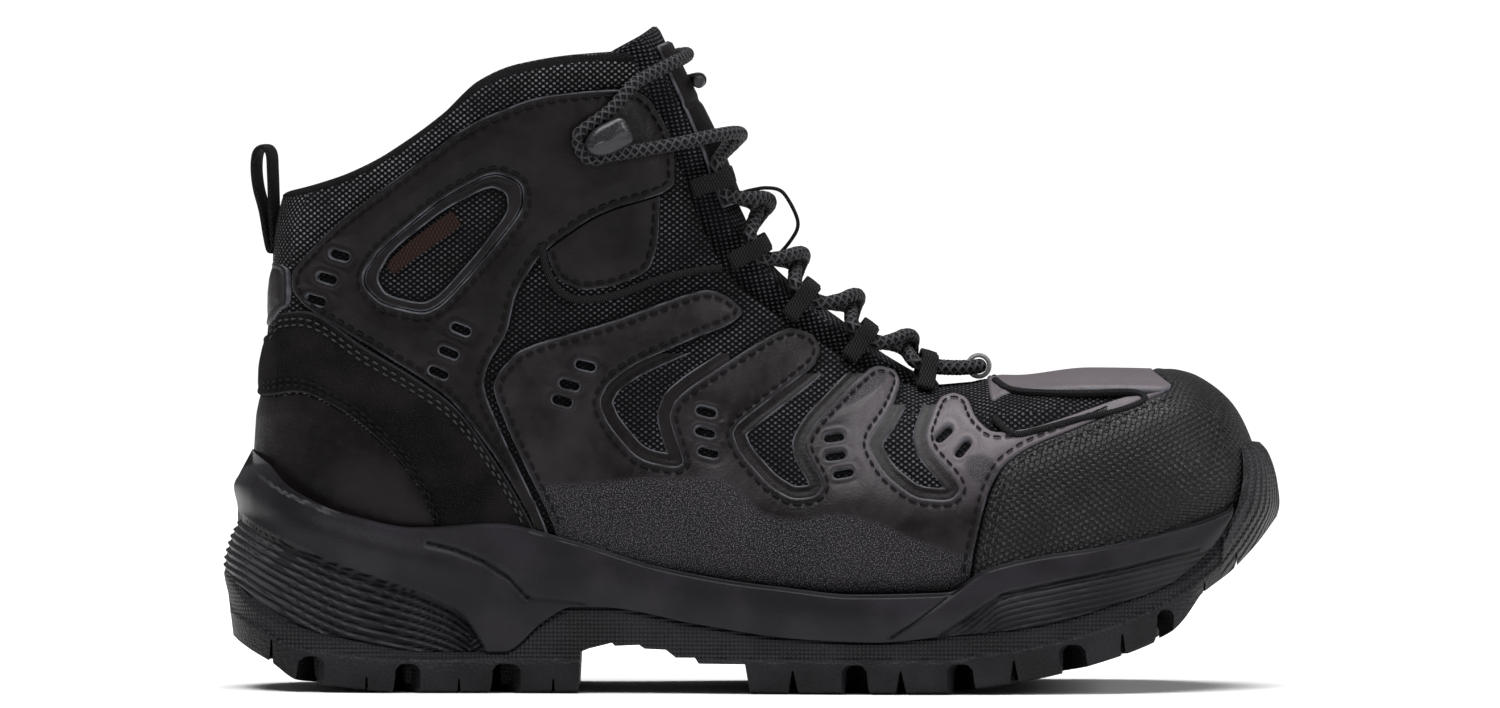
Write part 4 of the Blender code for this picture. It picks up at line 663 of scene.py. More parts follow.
class Skin:
    """Triangles of the boot's surface. Columns: position 0-2, normal 3-5, place 6, run 7, then any fields."""

    def __init__(self, data, faces):
        self.data = data
        self.faces = faces

    def packed(self):
        used, number = np.unique(self.faces.ravel(), return_inverse=True)
        return Skin(self.data[used], number.reshape(-1, 3))

    def add(self, values):
        return Skin(np.column_stack((self.data, values)), self.faces)

    def _cut(self, column, value, both):
        f = self.data[:, column] - value
        f = np.where(np.abs(f) < 1e-4, 1e-4, f)
        pos = f > 0
        count = pos[self.faces].sum(axis=1)
        whole = self.faces[count == 3]
        below = self.faces[count == 0]
        mixed = self.faces[(count == 1) | (count == 2)]
        if not len(mixed):
            return Skin(self.data, np.vstack((whole, below)) if both else whole).packed()
        inside = pos[mixed]
        single_in = inside.sum(axis=1) == 1
        odd = np.where(single_in, inside.argmax(axis=1), (~inside).argmax(axis=1))
        rows = np.arange(len(mixed))
        a = mixed[rows, odd]
        b = mixed[rows, (odd + 1) % 3]
        c = mixed[rows, (odd + 2) % 3]
        edges = np.sort(np.vstack((np.column_stack((a, b)), np.column_stack((c, a)))), axis=1)
        unique, index = np.unique(edges, axis=0, return_inverse=True)
        index = index.ravel()
        t = f[unique[:, 0]] / (f[unique[:, 0]] - f[unique[:, 1]])
        fresh = self.data[unique[:, 0]] * (1 - t[:, None]) + self.data[unique[:, 1]] * t[:, None]
        fresh[:, column] = value
        ab = index[:len(mixed)] + len(self.data)
        ca = index[len(mixed):] + len(self.data)
        corner = np.column_stack((a, ab, ca))
        rest = np.vstack((np.column_stack((ab, b, c)), np.column_stack((ab, c, ca))))
        if both:
            faces = np.vstack((whole, below, corner, rest))
        else:
            faces = np.vstack((whole, corner[single_in], rest[np.tile(~single_in, 2)]))
        return Skin(np.vstack((self.data, fresh)), faces).packed()

    def clip(self, field, value=0.0):
        """Keeps the side where the field (per point values) is above the value."""
        skin = self.add(field)
        cut = skin._cut(skin.data.shape[1] - 1, value, False)
        return Skin(cut.data[:, :-1], cut.faces)

    def scored(self, column, values):
        skin = self
        for value in values:
            skin = skin._cut(column, value, True)
        return skin

    def finer(self):
        edges = np.vstack((self.faces[:, (0, 1)], self.faces[:, (1, 2)], self.faces[:, (2, 0)]))
        unique, index = np.unique(np.sort(edges, axis=1), axis=0, return_inverse=True)
        index = index.ravel() + len(self.data)
        data = np.vstack((self.data, (self.data[unique[:, 0]] + self.data[unique[:, 1]]) / 2))
        n = len(self.faces)
        a, b, c = self.faces.T
        ab, bc, ca = index[:n], index[n:2 * n], index[2 * n:]
        faces = np.vstack((np.column_stack((a, ab, ca)), np.column_stack((ab, b, bc)),
                           np.column_stack((ca, bc, c)), np.column_stack((ab, bc, ca))))
        return Skin(data, faces)

    @property
    def x(self):
        return self.data[:, 0]

    @property
    def y(self):
        return self.data[:, 1]

    @property
    def z(self):
        return self.data[:, 2]

    @property
    def points(self):
        return self.data[:, 0:3]

    @property
    def normals(self):
        n = self.data[:, 3:6]
        return n / np.maximum(np.linalg.norm(n, axis=1, keepdims=True), 1e-9)


def make_skin(rows, ring_steps):
    places = np.linspace(0.0, len(SECTIONS) - 1.0, rows + 1)
    grid = []
    runs = []
    for place in places:
        curve = section_curve(section_values(place))
        run = run_lengths(curve)
        steps = np.linspace(0.0, run[-1], ring_steps + 1)
        side = np.stack([np.interp(steps, run, curve[:, k]) for k in range(3)], axis=1)
        shift = lean(side[:, 0])
        outer = np.column_stack((side[:, 0], shift - side[:, 1], side[:, 2]))
        inner = np.column_stack((side[:, 0], shift + side[:, 1], side[:, 2]))[::-1][1:-1]
        from_top = run[-1] - steps
        grid.append(np.vstack((outer, inner)))
        runs.append(np.concatenate((-from_top, from_top[::-1][1:-1])))
    grid = np.array(grid)
    ring = grid.shape[1]
    normals = np.cross(np.gradient(grid, axis=0), np.roll(grid, -1, axis=1) - np.roll(grid, 1, axis=1))
    normals /= np.maximum(np.linalg.norm(normals, axis=2, keepdims=True), 1e-9)
    if np.sum(normals * (grid - grid.mean(axis=1, keepdims=True))) < 0:
        normals = -normals
    quads = ring_quads(rows + 1, ring)
    faces = np.vstack((quads[:, (0, 3, 2)], quads[:, (0, 2, 1)]))
    data = np.column_stack((grid.reshape(-1, 3), normals.reshape(-1, 3), np.repeat(places, ring),
                            np.concatenate(runs)))
    face = faces[len(faces) // 3]
    p = data[face][:, :3]
    if np.dot(np.cross(p[1] - p[0], p[2] - p[0]), data[face[0]][3:6]) < 0:
        faces = faces[:, ::-1]
    return Skin(data, faces)


def in_outline(skin, outline, reach=REACH):
    """Side-view distance inside an outline, far values where the point is clear of it."""
    outline = np.asarray(outline)
    x = skin.x + skin.normals[:, 0] * reach
    z = skin.z + skin.normals[:, 2] * reach
    low = outline.min(axis=0) - 16.0
    high = outline.max(axis=0) + 16.0
    near = (x > low[0]) & (x < high[0]) & (z > low[1]) & (z < high[1])
    out = np.full(len(x), -16.0)
    out[near] = distance_inside(outline, x[near], z[near])
    return out


def below_collar(skin):
    return smooth_line(COLLAR_LINE, skin.x) - skin.z


def out_of_throat(skin):
    return np.abs(skin.data[:, 7]) - smooth_line(THROAT_HALF, skin.data[:, 6])


def beside_centre(skin, side, margin=0.0):
    return side * (skin.y - lean(skin.x)) - margin


def vamp_seam(skin):
    return skin.x - (8.0 + 0.444 * (skin.z - 20.0))


def above_sole(skin, cover=SOLE_COVER):
    x = skin.x + skin.normals[:, 0] * REACH
    z = skin.z + skin.normals[:, 2] * REACH
    return z - smooth_line(SOLE_SEAM, x) + cover


def slot_distance(x, z):
    """Distance outside the nearest slot in the side view."""
    best = np.full(np.shape(x), 99.0)
    for sx, sz, turn in SLOTS:
        angle = math.radians(turn)
        u = (x - sx) * math.cos(angle) + (z - sz) * math.sin(angle)
        v = -(x - sx) * math.sin(angle) + (z - sz) * math.cos(angle)
        best = np.minimum(best, np.hypot(np.maximum(np.abs(u) - SLOT_LONG, 0.0), v) - SLOT_ROUND)
    return best


def add_mesh(name, points, faces, made_of, values=None, smooth_angle=42.0, extra_uv=None):
    """Object from millimetre points, box-mapped in millimetres, with float attributes for its material."""
    mesh = bpy.data.meshes.new(name)
    points = np.asarray(points, dtype=float) * MM
    faces = [np.asarray(f) for f in faces if len(f)]
    count = sum(len(f) for f in faces)
    loops = np.concatenate([f.ravel() for f in faces])
    totals = np.concatenate([np.full(len(f), f.shape[1]) for f in faces])
    mesh.vertices.add(len(points))
    mesh.vertices.foreach_set("co", points.astype(np.float32).ravel())
    mesh.loops.add(len(loops))
    mesh.loops.foreach_set("vertex_index", loops.astype(np.int32))
    mesh.polygons.add(count)
    mesh.polygons.foreach_set("loop_start", np.concatenate(([0], np.cumsum(totals)[:-1])).astype(np.int32))
    mesh.update(calc_edges=True)
    mesh.validate()
    for key, value in (values or {}).items():
        held = mesh.attributes.new(key, "FLOAT", "POINT")
        held.data.foreach_set("value", np.broadcast_to(value, (len(points),)).astype(np.float32))
    map_in_mm(mesh)
    if extra_uv is not None:
        layer = mesh.uv_layers.new(name="braid")
        order = np.zeros(len(mesh.loops), dtype=np.int32)
        mesh.loops.foreach_get("vertex_index", order)
        layer.data.foreach_set("uv", extra_uv[order].astype(np.float32).ravel())
    mesh.materials.append(made_of)
    mesh.shade_smooth()
    mesh.set_sharp_from_angle(angle=math.radians(smooth_angle))
    made = add_item(name, mesh)
    return made


def map_in_mm(mesh):
    """Each face takes its two coordinates from the plane that it faces most, in millimetres."""
    co = np.zeros(len(mesh.vertices) * 3, np.float32)
    mesh.vertices.foreach_get("co", co)
    co = co.reshape(-1, 3) * 1000.0
    normal = np.zeros(len(mesh.polygons) * 3, np.float32)
    mesh.polygons.foreach_get("normal", normal)
    facing = np.abs(normal.reshape(-1, 3)) * np.array((0.75, 1.0, 0.8))
    total = np.zeros(len(mesh.polygons), np.int32)
    mesh.polygons.foreach_get("loop_total", total)
    plane = np.repeat(facing.argmax(axis=1), total)
    order = np.zeros(len(mesh.loops), np.int32)
    mesh.loops.foreach_get("vertex_index", order)
    corner = co[order]
    u = np.where(plane == 0, corner[:, 1], corner[:, 0])
    v = np.where(plane == 2, corner[:, 1], corner[:, 2])
    layer = mesh.uv_layers.new(name="mm")
    layer.data.foreach_set("uv", np.column_stack((u, v)).astype(np.float32).ravel())


def placed(item, body, slot, *nodes):
    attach(item, body)
    if nodes:
        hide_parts(*nodes)
    return item


def shell(name, skin, near, far, made_of, values=None):
    """Closed layer between two heights over the skin."""
    near = np.broadcast_to(np.asarray(near, dtype=float), skin.x.shape)
    far = np.broadcast_to(np.asarray(far, dtype=float), skin.x.shape)
    inner = skin.points + skin.normals * near[:, None]
    outer = skin.points + skin.normals * far[:, None]
    count = len(skin.x)
    edges = np.vstack((skin.faces[:, (0, 1)], skin.faces[:, (1, 2)], skin.faces[:, (2, 0)]))
    key = edges[:, 0].astype(np.int64) * count + edges[:, 1]
    back = edges[:, 1].astype(np.int64) * count + edges[:, 0]
    rim = edges[~np.isin(key, back)]
    walls = np.column_stack((rim[:, 0], rim[:, 1], rim[:, 1] + count, rim[:, 0] + count))
    doubled = {k: np.tile(np.broadcast_to(v, (count,)), 2) for k, v in (values or {}).items()}
    faces = [skin.faces + count, skin.faces[:, ::-1], walls]
    return add_mesh(name, np.vstack((inner, outer)), faces, made_of, doubled)


def rolled(distance, low, high, roll):
    """Height profile of a layer that rolls down to its edge."""
    t = np.clip(distance / roll, 0.0, 1.0)
    return low + (high - low) * np.sqrt(np.clip(1.0 - (1.0 - t) ** 2, 0.0, 1.0))


def tube(name, path, radius, sides, made_of, values=None):
    path = np.asarray(path, dtype=float)
    heading = np.gradient(path, axis=0)
    heading /= np.maximum(np.linalg.norm(heading, axis=1, keepdims=True), 1e-9)
    across = np.cross(heading[0], (0.3, 0.2, 1.0))
    rings = []
    lengths = run_lengths(path)
    radii = np.broadcast_to(np.asarray(radius, dtype=float), (len(path),)).copy()
    for place, ahead, r in zip(path, heading, radii):
        across = across - ahead * np.dot(across, ahead)
        across /= max(np.linalg.norm(across), 1e-9)
        up = np.cross(ahead, across)
        angle = np.linspace(0.0, 2 * math.pi, sides + 1)[:, None]
        rings.append(place + r * (across * np.cos(angle) + up * np.sin(angle)))
    points = np.array(rings).reshape(-1, 3)
    i, j = np.meshgrid(np.arange(len(path) - 1), np.arange(sides), indexing="ij")
    a = (i * (sides + 1) + j).ravel()
    quads = np.column_stack((a, a + 1, a + sides + 2, a + sides + 1))
    last = (len(path) - 1) * (sides + 1)
    caps = [np.array([list(range(sides))[::-1]]), np.array([[last + k for k in range(sides)]])]
    around = np.tile(np.linspace(0.0, 1.0, sides + 1), len(path))
    along = np.repeat(lengths, sides + 1)
    return add_mesh(name, points, [quads, *caps], made_of, values, extra_uv=np.column_stack((around, along)))


class Cast:
    """Finds the outer surface under a side-view place."""

    def __init__(self, skin):
        outside = skin.points + skin.normals * REACH
        self.tree = BVHTree.FromPolygons([tuple(p) for p in outside], [tuple(f) for f in skin.faces.tolist()])
        self.faces = skin.faces
        self.normals = skin.normals

    def at(self, x, z, side, height):
        hit, _, face, _ = self.tree.ray_cast(Vector((x, side * 220.0, z)), Vector((0.0, -side, 0.0)))
        if hit is None:
            return None, None
        normal = self.normals[self.faces[face]].mean(axis=0)
        normal /= np.linalg.norm(normal)
        return np.array(hit) + normal * (height - REACH), normal

    def path(self, places, side, height):
        points = []
        normals = []
        for x, z in places:
            point, normal = self.at(x, z, side, height)
            if point is not None:
                points.append(point)
                normals.append(normal)
        return np.array(points), np.array(normals)


def offset_runs(outline, inward, spacing=0.6, keep=None):
    """Runs of side-view points that follow a closed outline at a distance inside it."""
    outline = np.asarray(outline, dtype=float)
    closed = np.vstack((outline, outline[:1]))
    length = run_lengths(closed)
    at = np.arange(0.0, length[-1], spacing)
    line = np.column_stack((np.interp(at, length, closed[:, 0]), np.interp(at, length, closed[:, 1])))
    ahead = np.roll(line, -2, axis=0) - np.roll(line, 2, axis=0)
    ahead /= np.maximum(np.linalg.norm(ahead, axis=1, keepdims=True), 1e-9)
    area = np.sum(outline[:, 0] * np.roll(outline[:, 1], -1) - np.roll(outline[:, 0], -1) * outline[:, 1])
    turn = np.column_stack((-ahead[:, 1], ahead[:, 0])) * (1.0 if area > 0 else -1.0)
    moved = line + turn * inward
    held = distance_inside(outline, moved[:, 0], moved[:, 1])
    good = held > inward - 0.25 if inward >= 0 else held < inward + 0.25
    if keep is not None:
        good &= keep(moved[:, 0], moved[:, 1])
    runs = []
    current = []
    order = np.arange(len(moved))
    if not good.all():
        order = np.roll(order, -int(np.argmin(good)))
    for k in order:
        if good[k]:
            current.append(moved[k])
        elif current:
            runs.append(np.array(current))
            current = []
    if current:
        if good.all():
            current.append(current[0])
        runs.append(np.array(current))
    return [r for r in runs if len(r) > 6]


def resampled(path, step):
    length = run_lengths(path)
    count = max(int(length[-1] / step), 1)
    at = np.linspace(0.0, length[-1], count + 1)
    return np.column_stack([np.interp(at, length, path[:, k]) for k in range(path.shape[1])])


STITCHES = {}


def stitch(kind, points, normals, length=2.5, gap=1.0, radius=0.36):
    """Adds a row of stitches along a surface path to the pile for one thread."""
    if len(points) < 4:
        return
    both = resampled(np.column_stack((points, normals)), (length + gap) / 2)
    count = (len(both) - 1) // 2
    centre = both[1::2, :3][:count]
    ahead = both[2::2, :3][:count] - both[0::2, :3][:count]
    up = both[1::2, 3:][:count]
    size = np.linalg.norm(ahead, axis=1, keepdims=True)
    good = (size[:, 0] > 0.5) & (size[:, 0] < 2.2 * (length + gap))
    ahead = ahead[good] / size[good]
    centre = centre[good]
    up = up[good]
    up -= ahead * np.sum(up * ahead, axis=1, keepdims=True)
    up /= np.maximum(np.linalg.norm(up, axis=1, keepdims=True), 1e-9)
    side = np.cross(ahead, up)
    rings = ((-0.5, 0.35, -0.35), (-0.38, 0.9, 0.0), (0.0, 1.0, 0.18), (0.38, 0.9, 0.0), (0.5, 0.35, -0.35))
    corners = 6
    block = []
    for share, size_here, lift in rings:
        middle = centre + ahead * (share * length) + up * (lift * radius * 1.6)
        for k in range(corners):
            angle = 2 * math.pi * k / corners
            block.append(middle + radius * size_here * (side * math.cos(angle) + up * math.sin(angle) * 0.85))
    block = np.stack(block, axis=1)
    STITCHES.setdefault(kind, []).append(block.reshape(-1, 3))


def build_stitches(materials):
    rings, corners = 5, 6
    quads = ring_quads(rings, corners)[:, (0, 3, 2, 1)]
    caps = np.array([[5, 4, 3, 2, 1, 0], [24, 25, 26, 27, 28, 29]])
    for kind, blocks in STITCHES.items():
        points = np.vstack(blocks)
        starts = np.arange(0, len(points), rings * corners)
        all_quads = (quads[None, :, :] + starts[:, None, None]).reshape(-1, 4)
        all_caps = (caps[None, :, :] + starts[:, None, None]).reshape(-1, 6)
        item = add_mesh("stitches_" + kind, points, [all_quads, all_caps], materials[kind])
        placed(item, "boot", None)


def build_base(skin, mats):
    """Quarters and vamp: the mesh body, a little puffed between the overlays."""
    shaft = skin.clip(below_collar(skin) - 3.0)
    shaft = shaft.clip(out_of_throat(shaft))
    flat = shaft.normals[:, 2] < -0.55
    shaft = shaft.clip(np.where(flat, np.abs(shaft.y - lean(shaft.x)) - LASTING_MARGIN, 1.0))
    rear = shaft.clip(-vamp_seam(shaft) - 0.15)
    for name, side in (("quarter_lateral", -1), ("quarter_medial", 1)):
        half = rear.clip(beside_centre(rear, side, 0.15))
        item = shell(name, half, 0.0, puffed_mesh(half), mats["mesh"], {"painted_shade": painted_shade_share(half)})
        placed(item, "boot", "upper_mesh", name)
    vamp = shaft.clip(vamp_seam(shaft) - 0.15)
    item = shell("vamp", vamp, 0.0, puffed_mesh(vamp), mats["mesh"], {"painted_shade": painted_shade_share(vamp)})
    placed(item, "boot", "upper_mesh", "vamp")


def painted_shade_share(skin):
    """Painted shade on the mesh, where it lies in the shade of an overlay's edge or at the bottom of a slot.
    """
    cover = np.maximum(in_outline(skin, rounded(CAGE, 1)), in_outline(skin, rounded(ANKLE, 1)))
    in_window = smoothstep((in_outline(skin, rounded(WINDOW_INNER, 1)) - 0.6) / 1.6)
    return 0.85 * smoothstep((cover + 2.2) / 2.0) * (1.0 - in_window)


def puffed_mesh(skin):
    cover = np.maximum(in_outline(skin, rounded(CAGE, 1)), in_outline(skin, rounded(ANKLE, 1)))
    puff = smoothstep((-cover - 1.0) / 6.0)
    from_throat = smoothstep(out_of_throat(skin) / 5.0)
    return 2.0 + 0.9 * puff * from_throat


def overlay(name, skin, fields, levels, made_of, slot, node, roll=1.1, puff=0.5, values=None):
    """Stitched-on layer where every field is positive; the first group of fields makes its rolled edge."""
    edge_fields, clip_fields = fields

    def edge_of(s):
        best = edge_fields[0](s)
        for field in edge_fields[1:]:
            best = np.minimum(best, field(s))
        return best

    near = skin.clip(edge_of(skin) + 2.5)
    for field in clip_fields:
        near = near.clip(field(near))
    near = near.finer()
    edge = edge_of(near)
    near = near.add(edge)
    column = near.data.shape[1] - 1
    near = near._cut(column, 0.0, False)
    near = near.scored(column, (0.12, 0.35, 0.7, roll, 1.9))
    edge = np.maximum(near.data[:, column], 0.0)
    low, high = levels
    height = rolled(edge, low + 0.15, high, roll)
    seam = np.exp(-((edge - 1.9) / 0.8) ** 2)
    height = height - 0.22 * seam + puff * smoothstep((edge - 1.6) / 6.0)
    held = {"edge": edge, "frost": 0.0, "tone": 0.0}
    for key, make in (values or {}).items():
        held[key] = make(near)
    item = shell(name, near, low - 0.35, height, made_of, held)
    placed(item, "boot", slot, node)


def frosted(skin):
    """Share of frosted speckle on the cage: its lower part and a patch along each finger."""
    x = skin.x + skin.normals[:, 0] * REACH
    z = skin.z + skin.normals[:, 2] * REACH
    top = smooth_line(FROST_TOP, x)
    share = smoothstep((top - z + 1.0) / 2.5)
    for cx, cz, turn, long, wide in FROST_SPOTS:
        angle = math.radians(turn)
        u = (x - cx) * math.cos(angle) + (z - cz) * math.sin(angle)
        v = -(x - cx) * math.sin(angle) + (z - cz) * math.cos(angle)
        inside = 1.0 - np.hypot(u / long, v / wide)
        share = np.maximum(share, smoothstep(inside * 3.0 + 0.3) * 0.85)
    return share


def forefoot_highlight(skin):
    """Painted highlight: the light that the satin catches over the forefoot, painted into its colour."""
    x = skin.x
    return smoothstep((x - 5.0) / 60.0) * smoothstep((skin.z - 48.0) / 22.0) * 0.85


def build_overlays(skin, mats):
    covered = skin.clip(above_sole(skin))
    def slots(s):
        return slot_distance(s.x + s.normals[:, 0] * REACH, s.z + s.normals[:, 2] * REACH)

    def inside(line, grow=0.0):
        return lambda s: in_outline(s, line) + grow

    def outside(line, gap):
        return lambda s: -in_outline(s, line) - gap

    for word, side in (("lateral", -1), ("medial", 1)):
        half = covered.clip(beside_centre(covered, side, 0.3))
        overlay("cage_" + word, half, ((inside(CAGE_LINE), slots), (outside(GUARD_LINE, 0.1),)), (2.1, 3.7),
                mats["satin"], "leather_satin", "cage_" + word, values={"frost": frosted, "tone": forefoot_highlight})
        overlay("ankle_overlay_" + word, half,
                ((inside(ANKLE_LINE), outside(WINDOW_LINE, 0.0), slots), (outside(CAGE_LINE, 0.2),)),
                (2.1, 3.4), mats["leather"], "leather_dark", "ankle_overlay_" + word)
        overlay("window_rim_" + word, half, ((inside(WINDOW_LINE, -0.2), outside(RIM_LINE, 0.0)), ()),
                (2.0, 2.9), mats["leather"], "leather_dark", "ankle_overlay_" + word, puff=0.1)
        overlay("window_patch_" + word, half, ((inside(np.array(WINDOW_LABEL)),), (inside(RIM_LINE, -1.2),)),
                (2.6, 3.0), mats["label"], "woven_patch", "window_patch_" + word, roll=0.4, puff=0.0)
        overlay("eyestay_panel_" + word, half, ((inside(PANEL_LINE),), (outside(ANKLE_LINE, 0.4),)),
                (2.3, 3.5), mats["leather"], "leather_dark", "eyestay_panel_" + word, puff=0.5)
        for number, box in enumerate(POCKET_BOXES):
            def boxed(s, b=box):
                x = s.x + s.normals[:, 0] * REACH
                z = s.z + s.normals[:, 2] * REACH
                return np.minimum(np.minimum(x - b[0], b[2] - x), np.minimum(z - b[1], b[3] - z))
            overlay("pocket_trim_%s_%d" % (word, number + 1), half,
                    ((lambda s: in_outline(s, CAGE_LINE) + 3.6,), (outside(CAGE_LINE, -0.6), boxed)),
                    (2.1, 2.9), mats["leather"], "leather_satin", "cage_" + word, roll=0.8, puff=0.0)
    beside = (outside(GUARD_LINE, 0.1), outside(CAGE_LINE, 0.1))
    overlay("vamp_saddle", covered, ((inside(SADDLE_LINE),), beside), (2.1, 3.6), mats["satin"],
            "leather_satin", "vamp_saddle", values={"tone": forefoot_highlight})
    overlay("toe_guard", covered, ((inside(GUARD_LINE),), ()), (2.2, 4.1), mats["grip"], "toe_grip",
            "toe_guard", roll=1.4)
    overlay("backstay", covered, ((inside(TAB_LINE),), (outside(ANKLE_LINE, 0.2),)), (2.1, 3.5),
            mats["leather"], "leather_dark", "backstay")
    back = covered.clip(-57.0 - covered.x)
    beside = (outside(ANKLE_LINE, -0.6), outside(TAB_LINE, 0.1))
    overlay("heel_guard", back, ((heel_band_top, heel_band_low), beside), (2.2, 4.0), mats["suede"],
            "suede_band", "heel_guard", roll=1.3)
    overlay("heel_panel", back, ((lambda s: 2.0 - heel_band_low(s),), (outside(ANKLE_LINE, 0.2),)),
            (2.0, 3.0), mats["leather"], "leather_dark", "heel_panel")


def heel_band_low(skin):
    edge = smooth_line(HEEL_BAND_LOW, skin.x + skin.normals[:, 0] * REACH)
    return (skin.z + skin.normals[:, 2] * REACH - edge) * 0.85


def heel_band_top(skin):
    edge = smooth_line(HEEL_BAND_TOP, skin.x + skin.normals[:, 0] * REACH)
    return (edge - skin.z - skin.normals[:, 2] * REACH) * 0.85


def build_seams(cast):
    """Stitch rows that follow the overlays' edges."""
    def over_sole(x, z, room=3.0):
        return z > smooth_line(SOLE_SEAM, x) + room

    def clear_of(line, x, z):
        return distance_inside(line, x, z) < -0.8

    seams = ((CAGE_LINE, 2.0, 4.0, lambda x, z: over_sole(x, z) & clear_of(GUARD_LINE, x, z)),
             (ANKLE_LINE, 2.0, 3.6, lambda x, z: over_sole(x, z) & clear_of(CAGE_LINE, x, z) & (x > -133.0)),
             (WINDOW_LINE, -1.9, 3.5, None),
             (PANEL_LINE, 1.8, 3.7, lambda x, z: clear_of(ANKLE_LINE, x, z)))
    for side in (-1, 1):
        for line, inward, height, keep in seams:
            for run in offset_runs(line, inward, keep=keep):
                stitch("black", *cast.path(run, side, height))
        for inward in (2.2, 4.0):
            for run in offset_runs(GUARD_LINE, inward, keep=lambda x, z: over_sole(x, z, 2.0) & (x < 124.0)):
                stitch("grey", *cast.path(run, side, 4.35), length=1.9, gap=1.3, radius=0.34)
        for drop in (2.4, 4.2):
            at = np.arange(-140.0, -66.0, 0.6)
            top = np.column_stack((at, smooth_line(HEEL_BAND_TOP, at) - drop))
            stitch("grey", *cast.path(top, side, 4.4), length=1.8, gap=1.3, radius=0.3)
        at = np.arange(-142.0, -90.0, 0.6)
        for rise in (2.2, 3.8):
            low = np.column_stack((at, smooth_line(HEEL_BAND_LOW, at) + rise))
            stitch("black", *cast.path(low, side, 4.4), length=1.9, gap=1.2, radius=0.34)


def pipe(name, cast, places, side, radius, height, made_of, slot):
    points, _ = cast.path(resampled(smooth_path(np.array(places, dtype=float), 6), 1.0), side, height)
    if len(points) > 3:
        placed(tube(name, points, radius, 10, made_of), "boot", slot)


def build_piping(cast, mats):
    for side, word in ((-1, "lateral"), (1, "medial")):
        for number, line in enumerate(PIPING):
            pipe("piping_%s_%d" % (word, number + 1), cast, line, side, 1.15, 3.5, mats["cord"], "upper_mesh")


def pad_depth(skin):
    down = smoothstep((44.0 - below_collar(skin)) / 26.0)
    return COLLAR_PAD * down * smoothstep((-60.0 - skin.x) / 14.0)


def collar_depth(skin):
    """How far down the padded band reaches outside: deep at the heel, narrow towards the tongue."""
    return smooth_line(COLLAR_BAND, skin.x)


def collar_strip(skin, depth, room):
    """Skin below the collar's edge, how far down each point lies, and how far its rolled edge has opened."""
    band = skin.clip(depth(skin) - below_collar(skin))
    band = band.clip(below_collar(band))
    band = band.clip(out_of_throat(band) - room)
    band = band.add(below_collar(band))
    column = band.data.shape[1] - 1
    band = band.scored(column, (0.15, 0.5, 1.1, 2.0, 3.0))
    down = np.maximum(band.data[:, column], 0.0)
    return band, down, rolled(down, 0.0, 1.0, 3.2)


def rolled_strip(name, band, lift, outer, under_pad, made_of, values=None):
    """Layer round the collar's edge, from the outer height to below the lining."""
    inner = LINING[0] - pad_depth(band) - under_pad
    middle = (outer + inner) / 2
    low, high = middle - (middle - inner) * lift, middle + (outer - middle) * lift
    return shell(name, band, low, high, made_of, values)


def build_collar(skin, mats):
    band, down, lift = collar_strip(skin, collar_depth, 0.6)
    share = np.clip(down / collar_depth(band), 0.0, 1.0)
    puff = COLLAR_PUFF * np.sin(math.pi * share) ** 0.7 * smoothstep((-30.0 - band.x) / 20.0)
    puff = (puff + 0.4) * smoothstep((0.6 - in_outline(band, ANKLE_LINE)) / 2.4) - 0.4
    item = rolled_strip("collar_pad", band, lift, 2.3 + puff, 0.6, mats["collar"],
                        {"edge": down, "frost": 0.0, "tone": 0.0})
    placed(item, "boot", "upper_mesh", "collar_binding")
    band, down, lift = collar_strip(skin, lambda s: BINDING_WIDTH, 0.3)
    outer = 3.5 - 0.5 * smoothstep((down - 2.0) / 1.2)
    item = rolled_strip("collar_binding", band, lift, outer, 1.0, mats["lining"])
    placed(item, "boot", "binding_cloth", "collar_binding")


def build_linings(skin, mats):
    inside = skin.clip(below_collar(skin) - 3.0)
    inside = inside.clip(out_of_throat(inside))
    inside = inside.clip((inside.normals[:, 2] + 0.72) * 30.0)
    rear = inside.clip(-vamp_seam(inside) - 0.2)
    item = shell("collar_lining", rear, LINING[0] - pad_depth(rear), LINING[1], mats["lining"])
    placed(item, "boot", "lining_cloth", "collar_lining")
    front = inside.clip(vamp_seam(inside) - 0.2)
    item = shell("vamp_lining", front, *LINING, mats["lining"])
    placed(item, "boot", "lining_cloth", "vamp_lining")
    under = skin.clip((-0.84 - skin.normals[:, 2]) * 30.0)
    bed = under.clip(118.0 - under.x)
    item = shell("footbed", bed, FOOTBED[0], FOOTBED[1], mats["bed"])
    placed(item, "footbed", "footbed_foam", "footbed")


def fine_stations():
    back, front = SOLE_HALF_WIDTH[0][0], SOLE_HALF_WIDTH[-1][0]
    turn = np.linspace(0.0, math.pi, 420)
    even = np.linspace(0.0, 1.0, 420)
    share = 0.5 * (0.5 - 0.5 * np.cos(turn)) + 0.5 * even
    ends = np.array((0.0, 0.15, 0.4, 0.8, 1.4, 2.2))
    middle = back + 3.0 + (front - back - 6.0) * share
    return np.concatenate((back + ends, middle, (front - ends)[::-1]))


def line_distance(line, x, z):
    """Distance to an open side-view line."""
    best = np.full(np.shape(x), 99.0)
    for (ax, az), (bx, bz) in zip(line[:-1], line[1:]):
        dx, dz = bx - ax, bz - az
        t = np.clip(((x - ax) * dx + (z - az) * dz) / (dx * dx + dz * dz), 0.0, 1.0)
        best = np.minimum(best, np.hypot(x - ax - t * dx, z - az - t * dz))
    return best


